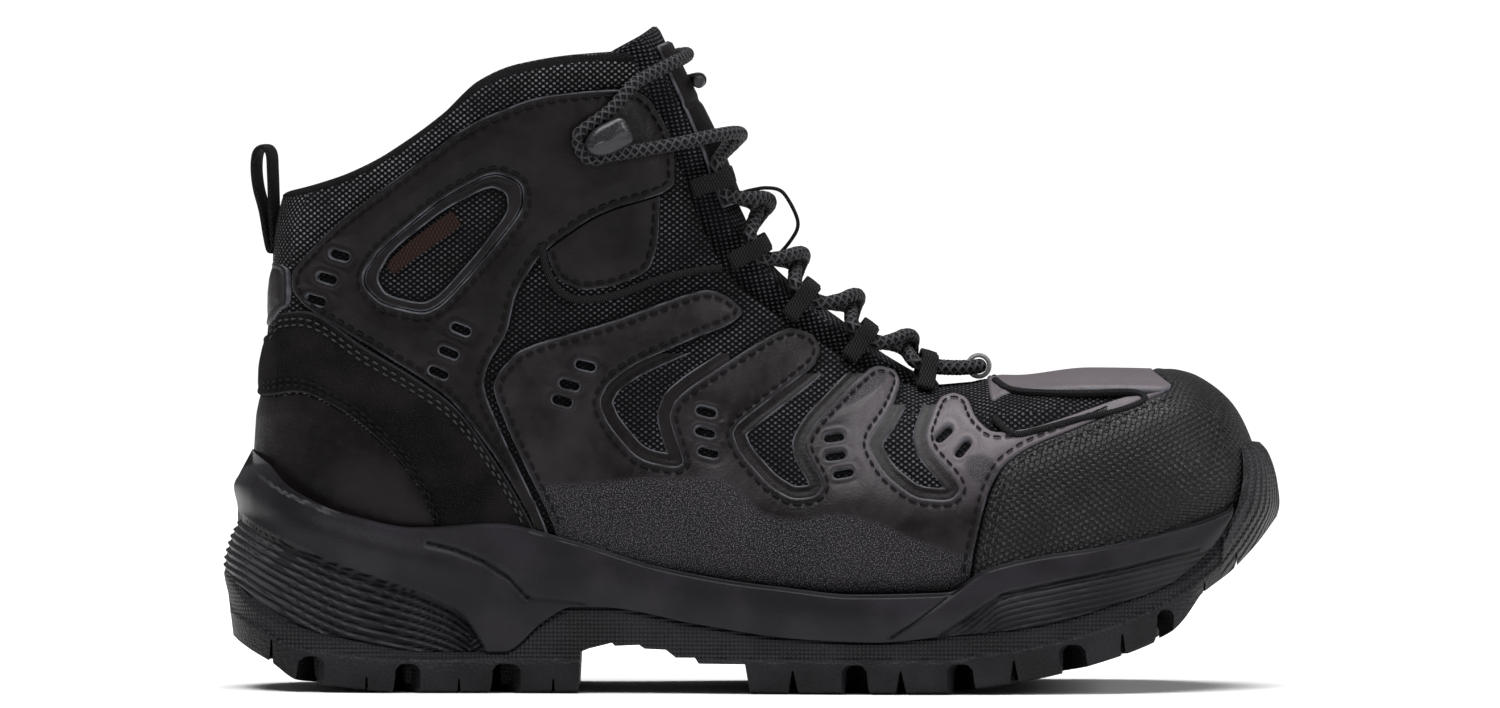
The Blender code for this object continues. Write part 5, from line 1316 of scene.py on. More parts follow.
def midsole_relief(x, z):
    """Outward height of the midsole's wall at side-view places, and the painted shade in its grooves."""
    height = np.zeros(np.shape(x))
    groove = np.zeros(np.shape(x))
    seam = smooth_line(SOLE_SEAM, x)
    tread = smooth_line(TREAD_TOP, x)
    panel_top = smooth_line(HEEL_PANEL_TOP, x)
    in_panel = smoothstep((panel_top - z) / 0.9) * (x < -76.5)
    span = np.maximum(panel_top - tread, 1.0)
    share = np.clip((panel_top - z) / np.maximum(smooth_line(HEEL_RIB_SPAN, x), 1.0), 0.0, 2.0)
    wave = np.cos(2 * math.pi * (share * RIB_COUNT - 0.5))
    fade = smoothstep(span / 4.0)
    height -= in_panel * fade * (1.3 - 0.55 * wave)
    groove = np.maximum(groove, in_panel * fade * np.where(wave < -0.35, (-wave - 0.35) * 1.3, 0.0))
    shadow = np.exp(-((panel_top - z - 1.2) / 1.0) ** 2) * (x < -77.5) * (x > -146.0)
    groove = np.maximum(groove, shadow)
    lip = smoothstep((seam - z) / 1.2)
    bulge = np.exp(-((z - (seam + panel_top) / 2) / 5.0) ** 2) * smoothstep((-70.0 - x) / 30.0)
    height += 1.6 * bulge
    height -= 1.6 * (1.0 - lip)
    for line, width, depth in MIDSOLE_LINES:
        d = line_distance(line, x, z)
        cut = np.exp(-(d / width) ** 2)
        height -= depth * cut
        groove = np.maximum(groove, 0.9 * cut)
    front_top = smooth_line(FRONT_PANEL_TOP, x)
    in_front = smoothstep((front_top - z) / 0.7) * smoothstep((x - 55.0) / 6.0) * (x > 57.0) * (x < 141.0)
    wave = np.cos(2 * math.pi * (front_top - z) / 1.75)
    height -= in_front * (0.75 - 0.28 * wave)
    groove = np.maximum(groove, in_front * np.where(wave < -0.2, (-wave - 0.2) * 0.8, 0.0))
    return height, np.clip(groove, 0.0, 1.0)


def sole_body(name, low_line, high_line, levels, grow, relief, made_of, stop=1e9, extra=None):
    """Lofted sole part with a detailed wall on each side, as arrays of loops."""
    stations = fine_stations()
    stations = stations[stations < stop]
    loops = []
    fields = []
    t = np.linspace(0.0, 1.0, levels + 1)
    for x0 in stations:
        low = float(low_line(x0))
        high = max(float(high_line(x0)), low + 0.6)
        z = low + (high - low) * t
        half = float(smooth_line(SOLE_HALF_WIDTH, x0)) + grow
        at_back = float(smoothstep((-115.0 - x0) / 41.0))
        at_front = float(smoothstep((x0 - 118.0) / 38.0))
        x = x0 + at_back * smooth_line(SOLE_BACK, z) + at_front * smooth_line(SOLE_FRONT, z)
        bow = 1.0 + 0.022 * np.sin(math.pi * t)
        height, groove = relief(x, z)
        shrink = np.clip(half / 20.0, 0.15, 1.0)
        out = half * bow + height * shrink
        push = (1.0 - np.clip(half / 26.0, 0.0, 1.0)) * height
        x = x + push * (1.0 if x0 > 0 else -1.0)
        middle = float(lean(x0))
        outer = np.column_stack((x, middle - out, z))
        inner = np.column_stack((x, middle + out, z))
        floor = np.linspace(-1.0, 1.0, 9)[1:-1]
        bottom = np.column_stack((np.full(7, x[0]), middle + floor * out[0], np.full(7, z[0])))
        top = np.column_stack((np.full(7, x[-1]), middle + floor[::-1] * out[-1], np.full(7, z[-1])))
        loops.append(np.vstack((bottom, inner, top, outer[::-1])))
        fields.append(np.concatenate((np.zeros(7), groove, np.zeros(7), groove[::-1])))
    ring = len(loops[0])
    points = np.array(loops).reshape(-1, 3)
    quads = ring_quads(len(stations), ring)
    caps = [np.arange(ring)[None, :], ((len(stations) - 1) * ring + np.arange(ring))[::-1][None, :]]
    values = {"groove": np.concatenate(fields)}
    for key, make in (extra or {}).items():
        values[key] = make(points)
    return add_mesh(name, points, outward(points, quads, *caps), made_of, values, 50.0)


def cut_by(item, cutters):
    for cutter in cutters:
        cut = item.modifiers.new("cut", "BOOLEAN")
        cut.operation = "DIFFERENCE"
        cut.object = cutter
        cut.solver = "EXACT"
    graph = bpy.context.evaluated_depsgraph_get()
    mesh = bpy.data.meshes.new_from_object(item.evaluated_get(graph))
    item.modifiers.clear()
    item.data = mesh
    for cutter in cutters:
        bpy.data.objects.remove(cutter)
    while mesh.uv_layers:
        mesh.uv_layers.remove(mesh.uv_layers[0])
    map_in_mm(mesh)
    mesh.shade_smooth()
    mesh.set_sharp_from_angle(angle=math.radians(38))


def plain_solid(name, points, faces):
    mesh = bpy.data.meshes.new(name)
    points = np.asarray(points, dtype=float)
    faces = facing_out(points, [tuple(int(v) for v in f) for f in faces])
    mesh.from_pydata([tuple(p * MM) for p in points], [], faces)
    made = add_item(name, mesh)
    return made


def upper_plug(inward):
    skin = make_skin(90, 40)
    points = skin.points + skin.normals * inward
    ring = 80
    faces = [tuple(f) for f in skin.faces.tolist()]
    for start in (0, 90 * ring):
        rim = [start + j for j in range(ring)]
        a, b, c = points[rim[0]], points[rim[ring // 3]], points[rim[2 * ring // 3]]
        outward = points[rim].mean(axis=0) - points.mean(axis=0)
        if np.dot(np.cross(b - a, c - a), outward) < 0:
            rim.reverse()
        faces.append(tuple(rim))
    return plain_solid("plug", points, faces)


def zigzag_cutter(name, x, half_x, top, wave, steps):
    """Slot across the sole that sways to and fro, wider at the ground than at its top."""
    ys = np.linspace(-CUT_REACH, CUT_REACH, steps * 2 + 1)
    points = []
    faces = []
    slope = 0.25 * half_x
    flat = half_x - 2.0 if half_x > 2.6 else 0.3
    right = [(half_x + slope, -6.0), (half_x + slope * 0.3, top - 1.8), (half_x - 0.9, top - 0.4),
             (flat, top)]
    profile = [(-right[0][0], right[0][1]), *right] + [(-x, z) for x, z in right[:0:-1]]
    if half_x < 1.8:
        profile = [(-half_x * 1.7, -6.0), (half_x * 1.7, -6.0), (0.25, top), (-0.25, top)]
    n = len(profile)
    for i, y in enumerate(ys):
        sway = wave if i % 2 else -wave
        points += [(x + sway + px, y, pz) for px, pz in profile]
    for i in range(len(ys) - 1):
        for j in range(n):
            k = (j + 1) % n
            faces.append((n * i + j, n * (i + 1) + j, n * (i + 1) + k, n * i + k))
    faces.append(tuple(range(n)))
    faces.append(tuple(n * (len(ys) - 1) + j for j in reversed(range(n))))
    return plain_solid(name, points, faces)


def prism(name, outline, half):
    count = len(outline)
    points = [(x, -half, z) for x, z in outline] + [(x, half, z) for x, z in outline]
    faces = [tuple(range(count)), tuple(reversed(range(count, 2 * count)))]
    for i in range(count):
        k = (i + 1) % count
        faces.append((i, i + count, k + count, k))
    return plain_solid(name, points, faces)


def tread_relief(x, z):
    height = np.zeros(np.shape(x))
    ground = smooth_line(GROUND, x)
    top = smooth_line(TREAD_TOP, x)
    share = np.clip((z - ground) / np.maximum(top - ground, 1.0), 0.0, 1.0)
    round_low = np.clip((z - ground) / 1.6, 0.0, 1.0)
    height -= 1.2 * (1.0 - np.sqrt(1.0 - (1.0 - round_low) ** 2))
    band = smoothstep((z - (ground + LUG_DEPTH + 0.8)) / 1.0)
    height -= 0.9 * band * (x < 138.0)
    height -= 0.8 * smoothstep((share - 0.9) / 0.1) * (x < 140.0)
    # Painted shade where the tread's wall is cut deepest.
    groove = np.clip(-height - 1.4, 0.0, 0.6)
    return height, groove


def build_sole(mats):
    midsole = sole_body("midsole", lambda x: smooth_line(TREAD_TOP, x) + 0.1,
                        lambda x: smooth_line(SOLE_SEAM, x), 64, 0.0, midsole_relief, mats["midsole"],
                        stop=MIDSOLE_FRONT)
    cut_by(midsole, [upper_plug(1.2)])
    placed(midsole, "boot", "midsole_foam", "midsole")
    wrap = {"wrap": lambda p: smoothstep((p[:, 0] - 137.5) / 2.0) * smoothstep((p[:, 2] - 24.0) / 4.0),
            "knurl": lambda p: smoothstep((p[:, 2] - smooth_line(GROUND, p[:, 0]) - LUG_DEPTH - 0.6) / 1.0)}
    outsole = sole_body("outsole", lambda x: smooth_line(GROUND, x),
                        lambda x: np.maximum(smooth_line(TREAD_TOP, x) - 0.1, smooth_line(GROUND, x) + 4.0),
                        22, 0.6, tread_relief, mats["outsole"], extra=wrap)
    cutters = [upper_plug(1.2)]
    cuts = [(x, width, LUG_DEPTH, 4.0, 4) for x, width in CROSS_GROOVES]
    cuts += [(x, width, LUG_DEPTH * 0.8, 2.0, 3) for x, width in NOTCHES]
    cuts += [(x, width, rise, 0.6, 3) for x, width, rise in SIPES]
    for number, (x, width, rise, wave, steps) in enumerate(cuts):
        top = float(smooth_line(GROUND, x)) + rise
        cutters.append(zigzag_cutter("tread_cut_%d" % number, x, width / 2, top, wave, steps))
    cutters.append(prism("waist", WAIST, CUT_REACH))
    cut_by(outsole, cutters)
    placed(outsole, "boot", "outsole_rubber", "outsole")
    for number, (x, width) in enumerate(CROSS_GROOVES):
        build_lug_block(number, x, width, mats["outsole"])


def build_lug_block(number, x, width, made_of):
    """Low knurled block that stands in the groove between two lugs, set back from the sole's edge."""
    ground = float(smooth_line(GROUND, x))
    points = []
    rings = ((2.2, 0.18, 1.4), (2.5, 0.26, 0.5), (3.2, 0.31, 0.1), (LUG_DEPTH + 1.0, 0.36, 0.0))
    profile = [(c * abs(c) ** -0.6, s * abs(s) ** -0.6) for c, s in
               ((math.cos(a), math.sin(a)) for a in np.linspace(0.05, 2 * math.pi + 0.05, 41)[:-1])]
    for rise, share, inset in rings:
        reach = BLOCK_WIDTH / 2 - inset
        points += [(x + px * width * share, lean(x) + py * reach, ground + rise) for px, py in profile]
    count = len(profile)
    quads = ring_quads(len(rings), count)[:, (0, 3, 2, 1)]
    caps = [np.arange(count)[None, ::-1], ((len(rings) - 1) * count + np.arange(count))[None, :]]
    item = add_mesh("lug_block_%d" % (number + 1), np.array(points), [quads, *caps], made_of,
                    {"groove": 0.0, "knurl": 1.0, "wrap": 0.0})
    placed(item, "boot", "outsole_rubber", "outsole")


def tongue_grid(rows, columns, room=0.0):
    """Front and back faces of the tongue as rows by columns of points."""
    front = []
    back = []
    keys = np.linspace(0.0, 6.0, columns)
    tops = {}
    for side in (-1, 1):
        for key in keys:
            run = float(np.interp(key, range(7), [c[0] for c in tongue_columns(0.6)]))
            tops[side, key] = place_at_height(run, side, TONGUE_PEAK - 0.0085 * run ** 2)
    for row in range(rows + 1):
        share = row / rows
        thick = TONGUE_THICK * min(1.0, 0.45 + 5.0 * share)
        line_front = []
        line_back = []
        for side in (-1, 1):
            half_front = []
            half_back = []
            for key in keys:
                top = tops[side, key]
                place = top + (TONGUE_ROOT_PLACE - top) * share
                cells = tongue_columns(place)
                run = float(np.interp(key, range(7), [c[0] for c in cells]))
                height = float(np.interp(key, range(7), [c[1] for c in cells]))
                edge = 1.0 if key < 5.0 else 1.0 - 0.55 * (key - 5.0)
                half_front.append(spot(place, run, side, height + room))
                half_back.append(spot(place, run, side, height - thick * edge - room))
            if side < 0:
                line_front += half_front[::-1]
                line_back += half_back[::-1]
            else:
                line_front += half_front[1:]
                line_back += half_back[1:]
        front.append(line_front)
        back.append(line_back)
    return np.array(front), np.array(back)


def grid_faces(rows, columns):
    count = rows * columns
    i, j = np.meshgrid(np.arange(rows - 1), np.arange(columns - 1), indexing="ij")
    a = (i * columns + j).ravel()
    front = np.column_stack((a, a + 1, a + columns + 1, a + columns))
    back = front[:, ::-1] + count
    rim = list(range(columns)) + [r * columns + columns - 1 for r in range(1, rows)]
    rim += [(rows - 1) * columns + c for c in reversed(range(columns - 1))]
    rim += [r * columns for r in reversed(range(1, rows - 1))]
    rim = np.array(rim)
    ahead = np.roll(rim, -1)
    return np.vstack((front, back, np.column_stack((ahead, rim, rim + count, ahead + count))))


def puff_up(item, held, pressure, frames, cap):
    """Blows a closed mesh up as cloth under pressure, its held points fixed, and keeps the result."""
    rest = np.array([v.co for v in item.data.vertices], dtype=float)
    group = item.vertex_groups.new(name="held")
    group.add([int(v) for v in np.nonzero(held)[0]], 1.0, "REPLACE")
    cloth = item.modifiers.new("cloth", "CLOTH")
    cloth.settings.quality = 6
    cloth.settings.mass = 0.2
    cloth.settings.tension_stiffness = 25
    cloth.settings.compression_stiffness = 12
    cloth.settings.shear_stiffness = 8
    cloth.settings.bending_stiffness = 0.4
    cloth.settings.use_pressure = True
    cloth.settings.uniform_pressure_force = pressure
    cloth.settings.vertex_group_mass = "held"
    cloth.settings.effector_weights.gravity = 0.0
    cloth.collision_settings.use_collision = False
    cloth.point_cache.frame_start = 1
    cloth.point_cache.frame_end = frames
    scene = bpy.context.scene
    scene.frame_start = 1
    scene.frame_end = frames
    for f in range(1, frames + 1):
        scene.frame_set(f)
    graph = bpy.context.evaluated_depsgraph_get()
    shape = item.evaluated_get(graph).to_mesh()
    blown = np.array([v.co for v in shape.vertices], dtype=float)
    item.evaluated_get(graph).to_mesh_clear()
    item.modifiers.remove(cloth)
    scene.frame_set(1)
    move = blown - rest
    size = np.linalg.norm(move, axis=1, keepdims=True)
    move *= np.minimum(1.0, cap / np.maximum(size, 1e-9))
    return rest + np.nan_to_num(move)


def build_tongue(mats):
    rows, columns = (46, 15)
    front, back = tongue_grid(rows, columns)
    shape = front.shape
    points = np.vstack((front.reshape(-1, 3), back.reshape(-1, 3)))
    faces = grid_faces(shape[0], shape[1])
    item = add_mesh("tongue_pad", points, outward(points, faces), mats["tongue"])
    column = np.tile(np.arange(shape[1]), shape[0])
    row = np.repeat(np.arange(shape[0]), shape[1])
    edge = (column < 2) | (column > shape[1] - 3) | (row < 2) | (row > shape[0] - 3)
    centre = np.abs(column - shape[1] // 2) < 5
    held = np.concatenate((edge | (centre & (row > 3)), edge))
    blown = puff_up(item, held, 3.0, 14, 0.0016)
    item.data.vertices.foreach_set("co", blown.astype(np.float32).ravel())
    item.data.update()
    smooth = item.modifiers.new("smooth", "SUBSURF")
    smooth.levels = 1
    smooth.render_levels = 1
    placed(item, "tongue", "upper_mesh", "tongue_pad")
    build_badge(mats)
    build_keeper(mats)


def build_badge(mats):
    lowest = TONGUE_FRONT + 0.5
    rows = 60
    lines_front = []
    lines_back = []
    edges = []
    first, last = BADGE_PLACES[0] + 0.02, BADGE_PLACES[1]
    for row in range(rows + 1):
        place = first + (last - first) * row / rows
        line_front = []
        line_back = []
        for k in range(-20, 21):
            run = BADGE_HALF * k / 20
            side = -1 if run < 0 else 1
            along = min(row, rows - row) * 44.0 / rows
            edge = min(BADGE_HALF - abs(run), along)
            edges.append(edge)
            crease = -0.5 * math.exp(-((row / rows - 0.36) / 0.02) ** 2)
            height = lowest + 0.35 + 0.9 * math.sqrt(max(0.0, 1 - (1 - min(edge / 1.0, 1.0)) ** 2)) + crease
            line_front.append(spot(place, abs(run), side, height))
            line_back.append(spot(place, abs(run), side, lowest))
        lines_front.append(line_front)
        lines_back.append(line_back)
    front = np.array(lines_front)
    back = np.array(lines_back)
    points = np.vstack((front.reshape(-1, 3), back.reshape(-1, 3)))
    faces = grid_faces(rows + 1, 41)
    values = {"edge": np.tile(np.array(edges), 2), "frost": 0.0, "tone": 0.0}
    item = add_mesh("tongue_badge", points, outward(points, faces), mats["leather"], values)
    placed(item, "tongue", "leather_dark", "tongue_badge")


def ribbon(name, path, across, thick, half, made_of, closed=True):
    """Woven strap with rounded edges along a path; across is one direction or one per point."""
    path = np.asarray(path, dtype=float)
    across = np.broadcast_to(np.asarray(across, dtype=float), path.shape)
    if closed:
        tangent = np.roll(path, -1, axis=0) - np.roll(path, 1, axis=0)
    else:
        tangent = np.gradient(path, axis=0)
    tangent /= np.maximum(np.linalg.norm(tangent, axis=1, keepdims=True), 1e-9)
    normal = np.cross(tangent, across)
    normal /= np.maximum(np.linalg.norm(normal, axis=1, keepdims=True), 1e-9)
    upper = [(-1.0, 0.0), (-0.93, 0.42), (-0.6, 0.5), (0.0, 0.56), (0.6, 0.5), (0.93, 0.42)]
    profile = upper + [(-w, -s) for w, s in upper]
    points = np.stack([path + across * half * w + normal * thick * s for w, s in profile], axis=1)
    points = points.reshape(-1, 3)
    n = len(profile)
    count = len(path)
    faces = [ring_quads(count, n, closed)]
    if not closed:
        faces += [np.arange(n)[None, ::-1], ((count - 1) * n + np.arange(n))[None, :]]
    return add_mesh(name, points, outward(points, *faces), made_of)


def build_keeper(mats):
    middle = np.array([spot(place, 0.0, 1, height) for place, height in KEEPER_PATH])
    path = resampled(smooth_path(middle, 6), 0.6)
    item = ribbon("tongue_keeper", path, (0.0, 1.0, 0.0), 1.0, KEEPER_HALF, mats["webbing"], closed=False)
    placed(item, "tongue", "webbing", "tongue_keeper")


def build_pull_loop(mats):
    path = smooth_path(PULL_LOOP, 6, closed=True)
    path = np.column_stack((path[:, 0], np.zeros(len(path)), path[:, 1]))
    turn = math.radians(LOOP_TWIST)
    item = ribbon("heel_pull_loop", path, (math.sin(turn), math.cos(turn), 0.0), 1.35, 5.5, mats["webbing"])
    placed(item, "pull_loop", "webbing", "heel_pull_loop")


def dense_outer_side():
    dense = make_skin(200, 120)
    outer = (dense.data[:, 7] < 0) & (dense.z > 60)
    return dense.points[outer], dense.data[outer, 6], dense.data[outer, 7]


def build_lacing(mats):
    found = dense_outer_side()
    path = resampled(smooth_path(lace_path(found), 10), 0.55)
    length = run_lengths(path)
    wobble = 1.0 + 0.05 * np.sin(length * 2 * math.pi / 1.3)
    item = tube("lace", path, LACE_RADIUS * wobble, 16, mats["braid"])
    placed(item, "boot", "lace_braid", "lace")
    ends = (("lace_aglet_lateral", path[0], path[1]), ("lace_aglet_medial", path[-1], path[-2]))
    for name, first, before in ends:
        away = (first - before) / np.linalg.norm(first - before)
        at = np.linspace(0.3, 8.0, 18)
        radii = LACE_RADIUS * 0.85 * np.where(at > 7.2, 0.8, 1.0) * (1.0 - 0.06 * (np.abs(at - 2.4) < 0.4))
        item = tube(name, first + away * at[:, None], radii, 16, mats["plastic"])
        placed(item, "boot", "aglet_plastic", name)
    teardrop = [(LOOP_RADIUS * math.cos(math.radians(a)), LOOP_RADIUS * math.sin(math.radians(a)))
                for a in (-70, -35, 0, 35, 70, 105, 140)]
    teardrop += [(-5.4, 0.2), (-9.2, -2.3), (-9.7, -3.0), (-8.8, -3.5), (-4.0, -3.6)]
    teardrop = smooth_path(teardrop, 5, closed=True)
    for side, word in ((-1, "lateral"), (1, "medial")):
        for number, (place, run) in enumerate(LOOPS):
            centre = spot(place, run, side, LACE_AT_LOOP)
            normal = upper_normal(place, run, side)
            up = spot(place - 0.15, run, side, LACE_AT_LOOP) - spot(place + 0.15, run, side, LACE_AT_LOOP)
            up /= np.linalg.norm(up)
            normal = normal - up * np.dot(normal, up)
            normal /= np.linalg.norm(normal)
            inward = np.cross(up, normal)
            if inward[1] * side > 0:
                inward = -inward
            path = centre + teardrop[:, :1] * inward + teardrop[:, 1:] * normal
            name = "lace_loop_%s_%d" % (word, number + 1)
            item = ribbon(name, path, up, 1.0, LOOP_HALF, mats["webbing"])
            placed(item, "boot", "webbing", name)
        build_hook(side, word, found, mats)
    centre = spot(RING_PLACE, 0.0, 1, LACE_AT_HOOK)
    along = upper_point(RING_PLACE - 0.1, 0.0, 1) - upper_point(RING_PLACE + 0.1, 0.0, 1)
    along /= np.linalg.norm(along)
    normal = upper_normal(RING_PLACE, 0.5, 1)
    angle = np.linspace(0, 2 * math.pi, 49)[:-1]
    path = centre + 3.15 * (np.cos(angle)[:, None] * along + np.sin(angle)[:, None] * normal)
    item = ribbon("lace_ring", path, (0.0, 1.0, 0.0), 1.2, 3.2, mats["ring"])
    placed(item, "boot", "ring_plastic", "lace_ring")


def build_hook(side, word, found, mats):
    """Bullet-shaped cap with a ridge, on its neck and foot."""
    hook = locate(*HOOK_PLACE, *found)
    centre = upper_point(hook[0], hook[1], side)
    normal = upper_normal(hook[0], hook[1], side)
    ahead = upper_point(*locate(HOOK_PLACE[0] + 8.0, HOOK_PLACE[1] + 3.4, *found), side) - centre
    ahead -= normal * np.dot(ahead, normal)
    ahead /= np.linalg.norm(ahead)
    across = np.cross(normal, ahead)
    angle = np.linspace(0, 2 * math.pi, 65)[:-1]
    bullet = []
    for a in angle:
        c, s = math.cos(a), math.sin(a)
        if c >= 0:
            bullet.append((3.2 + 7.4 * abs(c) ** 0.35, 4.5 * math.copysign(abs(s) ** 0.5, s)))
        else:
            bullet.append((3.2 - 6.8 * abs(c) ** 1.1, 4.5 * s))
    neck = [(2.0 * math.cos(a), 2.0 * math.sin(a)) for a in angle]
    levels = [(neck, *level) for level in HOOK_NECK] + [(bullet, *level) for level in HOOK_CAP]
    points = []
    for shape, scale, height in levels:
        for a, b in shape:
            ridge = 0.5 * math.exp(-(b * scale / 0.5) ** 2) if height > 12.0 else 0.0
            a = 3.2 + (a - 3.2) * scale if shape is bullet else a * scale
            points.append(centre + ahead * a + across * b * scale + normal * (height + ridge))
    points = np.array(points)
    n = len(angle)
    quads = ring_quads(len(levels), n)[:, (0, 3, 2, 1)]
    caps = [np.arange(n)[None, ::-1], ((len(levels) - 1) * n + np.arange(n))[None, :]]
    item = add_mesh("speed_hook_" + word, points, outward(points, quads, *caps), mats["plastic"])
    placed(item, "boot", "hook_plastic", "speed_hook_" + word)


def add_item(name, data, turn=None):
    """New object in the scene, its turn as a quaternion."""
    item = bpy.data.objects.new(name, data)
    if turn is not None:
        item.rotation_euler = turn.to_euler()
    bpy.context.scene.collection.objects.link(item)
    return item


def build_studio():
    """White world, floor, lights and the camera that looks at the outer side."""
    bpy.context.scene.view_settings.view_transform = "Standard"
    world = bpy.data.worlds.new("studio")
    bpy.context.scene.world = world
    world.use_nodes = True
    background = world.node_tree.nodes["Background"].inputs
    background["Color"].default_value = (1.0, 1.0, 1.0, 1.0)
    background["Strength"].default_value = WORLD_STRENGTH
    mesh = bpy.data.meshes.new("floor")
    n = 9
    across = np.linspace(-FLOOR_REACH, FLOOR_REACH, n)
    points = [(x, y, -FLOOR_DROP) for y in across for x in across]
    faces = [(k, k + 1, k + n + 1, k + n) for k in range(n * (n - 1)) if k % n < n - 1]
    mesh.from_pydata(points, [], faces)
    mesh.shade_smooth()
    g = Graph("studio_floor", 0.9)
    position = g.node("ShaderNodeNewGeometry").outputs["Position"]
    cloudy = g.node("ShaderNodeTexNoise", {"Vector": position, "Scale": 3.0}).outputs[0]
    g.set("Base Color", g.mix(cloudy, (0.80, 0.80, 0.80), (0.84, 0.84, 0.84)))
    mesh.materials.append(g.material)
    floor = add_item("studio_floor", mesh)
    for name, place, size, power, aim in LIGHTS:
        light = bpy.data.lights.new(name, "AREA")
        light.shape = "RECTANGLE"
        light.size, light.size_y = size
        light.energy = power
        item = add_item(name, light, (Vector(aim) - Vector(place)).to_track_quat("-Z", "Y"))
        item.location = place
    sky = bpy.data.lights.new("sky", "SUN")
    sky.energy = SKY[0]
    sky.angle = math.radians(SKY[1])
    add_item("sky", sky, Vector(SKY[2]).to_track_quat("Z", "Y"))
    data = bpy.data.cameras.new("camera")
    data.sensor_width = 36.0
    data.lens = 36.0 * CAMERA_AWAY / FRAME_WIDTH
    data.clip_end = 100.0
    camera = add_item("camera", data)
    lift = math.radians(CAMERA_LIFT)
    camera.location = (0.0, -CAMERA_AWAY * math.cos(lift), FRAME_MIDDLE + CAMERA_AWAY * math.sin(lift))
    camera.rotation_euler = (math.pi / 2 - lift, 0.0, 0.0)
    bpy.context.scene.camera = camera


# Studio. Lights as place, size, power and aim; sky as power, spread in degrees and direction
WORLD_STRENGTH = 0.16
CAMERA_AWAY = 6.0
CAMERA_LIFT = 1.5
FRAME_WIDTH = 0.4415
FRAME_MIDDLE = 0.0979
FLOOR_REACH = 40.0
FLOOR_DROP = 0.0002
SKY = (3.9, 55.0, (-0.10, -0.12, 1.0))
LIGHTS = (("key", (-0.5, -1.1, 1.9), (0.9, 0.5), 12.0, (0.0, 0.0, 0.08)),
          ("top", (0.30, 0.35, 1.6), (1.1, 0.5), 12.0, (0.0, 0.0, 0.1)),
          ("front", (1.6, -0.9, 1.0), (0.5, 0.8), 14.0, (0.05, 0.0, 0.07)))

# Speckle on the cage: its upper edge, and patches as place, tilt, length and width
FROST_TOP = ((-70, 60), (-45, 61.5), (-25, 63), (-8, 62), (5, 52), (14, 50.5), (24, 52), (36, 50),
             (46, 46), (56, 42.5), (66, 40), (80, 38))
FROST_SPOTS = ((-12, 95, 27, 14, 2.6), (-30, 84, 30, 10, 3.2), (33, 88, 32, 9, 2.4), (20, 80, 40, 9, 2.6),
               (46, 84, 30, 6, 2.0), (68, 65, -30, 6, 4.2))
# Side-view lines of finer parts, x z
WINDOW_INNER = ((-109.5, 121), (-105, 129), (-89, 141.4), (-76, 148), (-71.2, 146), (-70.8, 140.2),
                (-80.6, 127.6), (-91, 116), (-96, 113.6), (-106.5, 116))
PIPING = (((-61.0, 131), (-59.2, 123), (-55.5, 117), (-49.0, 114.8), (-39, 116.2), (-28, 120.2),
           (-18, 122.6), (-9, 123.6)),
          ((72, 90), (78, 87.2), (96, 86.6), (112, 86.9), (115.4, 84.6), (108, 81.8), (96, 79.4),
           (84, 76.2), (77, 75.2), (71.5, 79.5)))
# Hook: share of its outline and height above the upper
HOOK_NECK = ((1.9, 3.7), (1.7, 4.6), (1.05, 5.0), (1.0, 8.2))
HOOK_CAP = ((0.86, 8.4), (0.97, 8.8), (1.0, 9.6), (1.0, 10.8), (0.97, 11.6), (0.88, 12.2), (0.70, 12.6),
            (0.35, 12.9), (0.05, 13.0))
# Single sizes and tones
# Colour of the painted highlight along the leather's rolled edges
EDGE_HIGHLIGHT = (0.085, 0.088, 0.102)
LOOP_TWIST = 13.0
BLOCK_WIDTH = 76.0
CUT_REACH = 70.0
BINDING_WIDTH = 3.4
# Depth of the padded band by x
COLLAR_BAND = ((-140, 26), (-120, 20), (-100, 14), (-80, 11.5), (-60, 10.5), (-40, 10))
COLLAR_PUFF = 1.7
PULL_LOOP = ((-140.6, 128.6), (-141.6, 133), (-142.8, 140), (-144.6, 147), (-145.2, 153), (-144.6, 157.4),
             (-142.6, 159), (-140.8, 157), (-140.4, 151.5), (-140.2, 146), (-140, 140), (-139.6, 133),
             (-139.4, 128.8))
HEEL_PANEL_TOP = ((-160, 55.0), (-149.7, 51.1), (-142.6, 47.2), (-132.9, 42.8), (-118.2, 36.9),
                  (-103.4, 31.9), (-93.7, 28.4), (-83.1, 22.2), (-77.0, 12.8), (-70.0, 5.0))
HEEL_RIB_SPAN = ((-156, 17.5), (-140, 18.5), (-120, 20.0), (-100, 18.0), (-84, 15.0), (-77, 12.0))
RIB_COUNT = 7.5
# Grooves of the midsole wall: side-view line, width and depth
MIDSOLE_LINES = ((((-94.3, 43.7), (-86.0, 41.6), (-77.5, 38.1), (-70.5, 33.4), (-65.2, 27.8)), 0.75, 1.2),
                 (((-65.2, 27.8), (-58.0, 27.2), (-48.0, 26.0)), 0.35, 0.35),
                 (((40.8, 16.3), (48.0, 21.0), (56.1, 27.2), (62.0, 31.5)), 0.4, 0.7),
                 (((55.5, 16.6), (64.0, 22.5), (73.4, 29.0), (90, 32.6), (110, 36.6), (130.8, 41.6)),
                  0.6, 1.0))
FRONT_PANEL_TOP = ((50, 12.0), (58, 18.0), (64.0, 22.0), (73.4, 28.5), (90.0, 32.2), (110.0, 36.2),
                   (130.8, 41.2), (145, 45.0))
# Thin cuts in the tread as place, width and height
SIPES = ((-112.5, 0.9, 4.0), (-85.5, 0.9, 4.0), (-58.0, 0.9, 4.0), (-140.0, 1.6, 9.0), (133.0, 2.4, 8.0),
         (143.0, 2.0, 9.0))

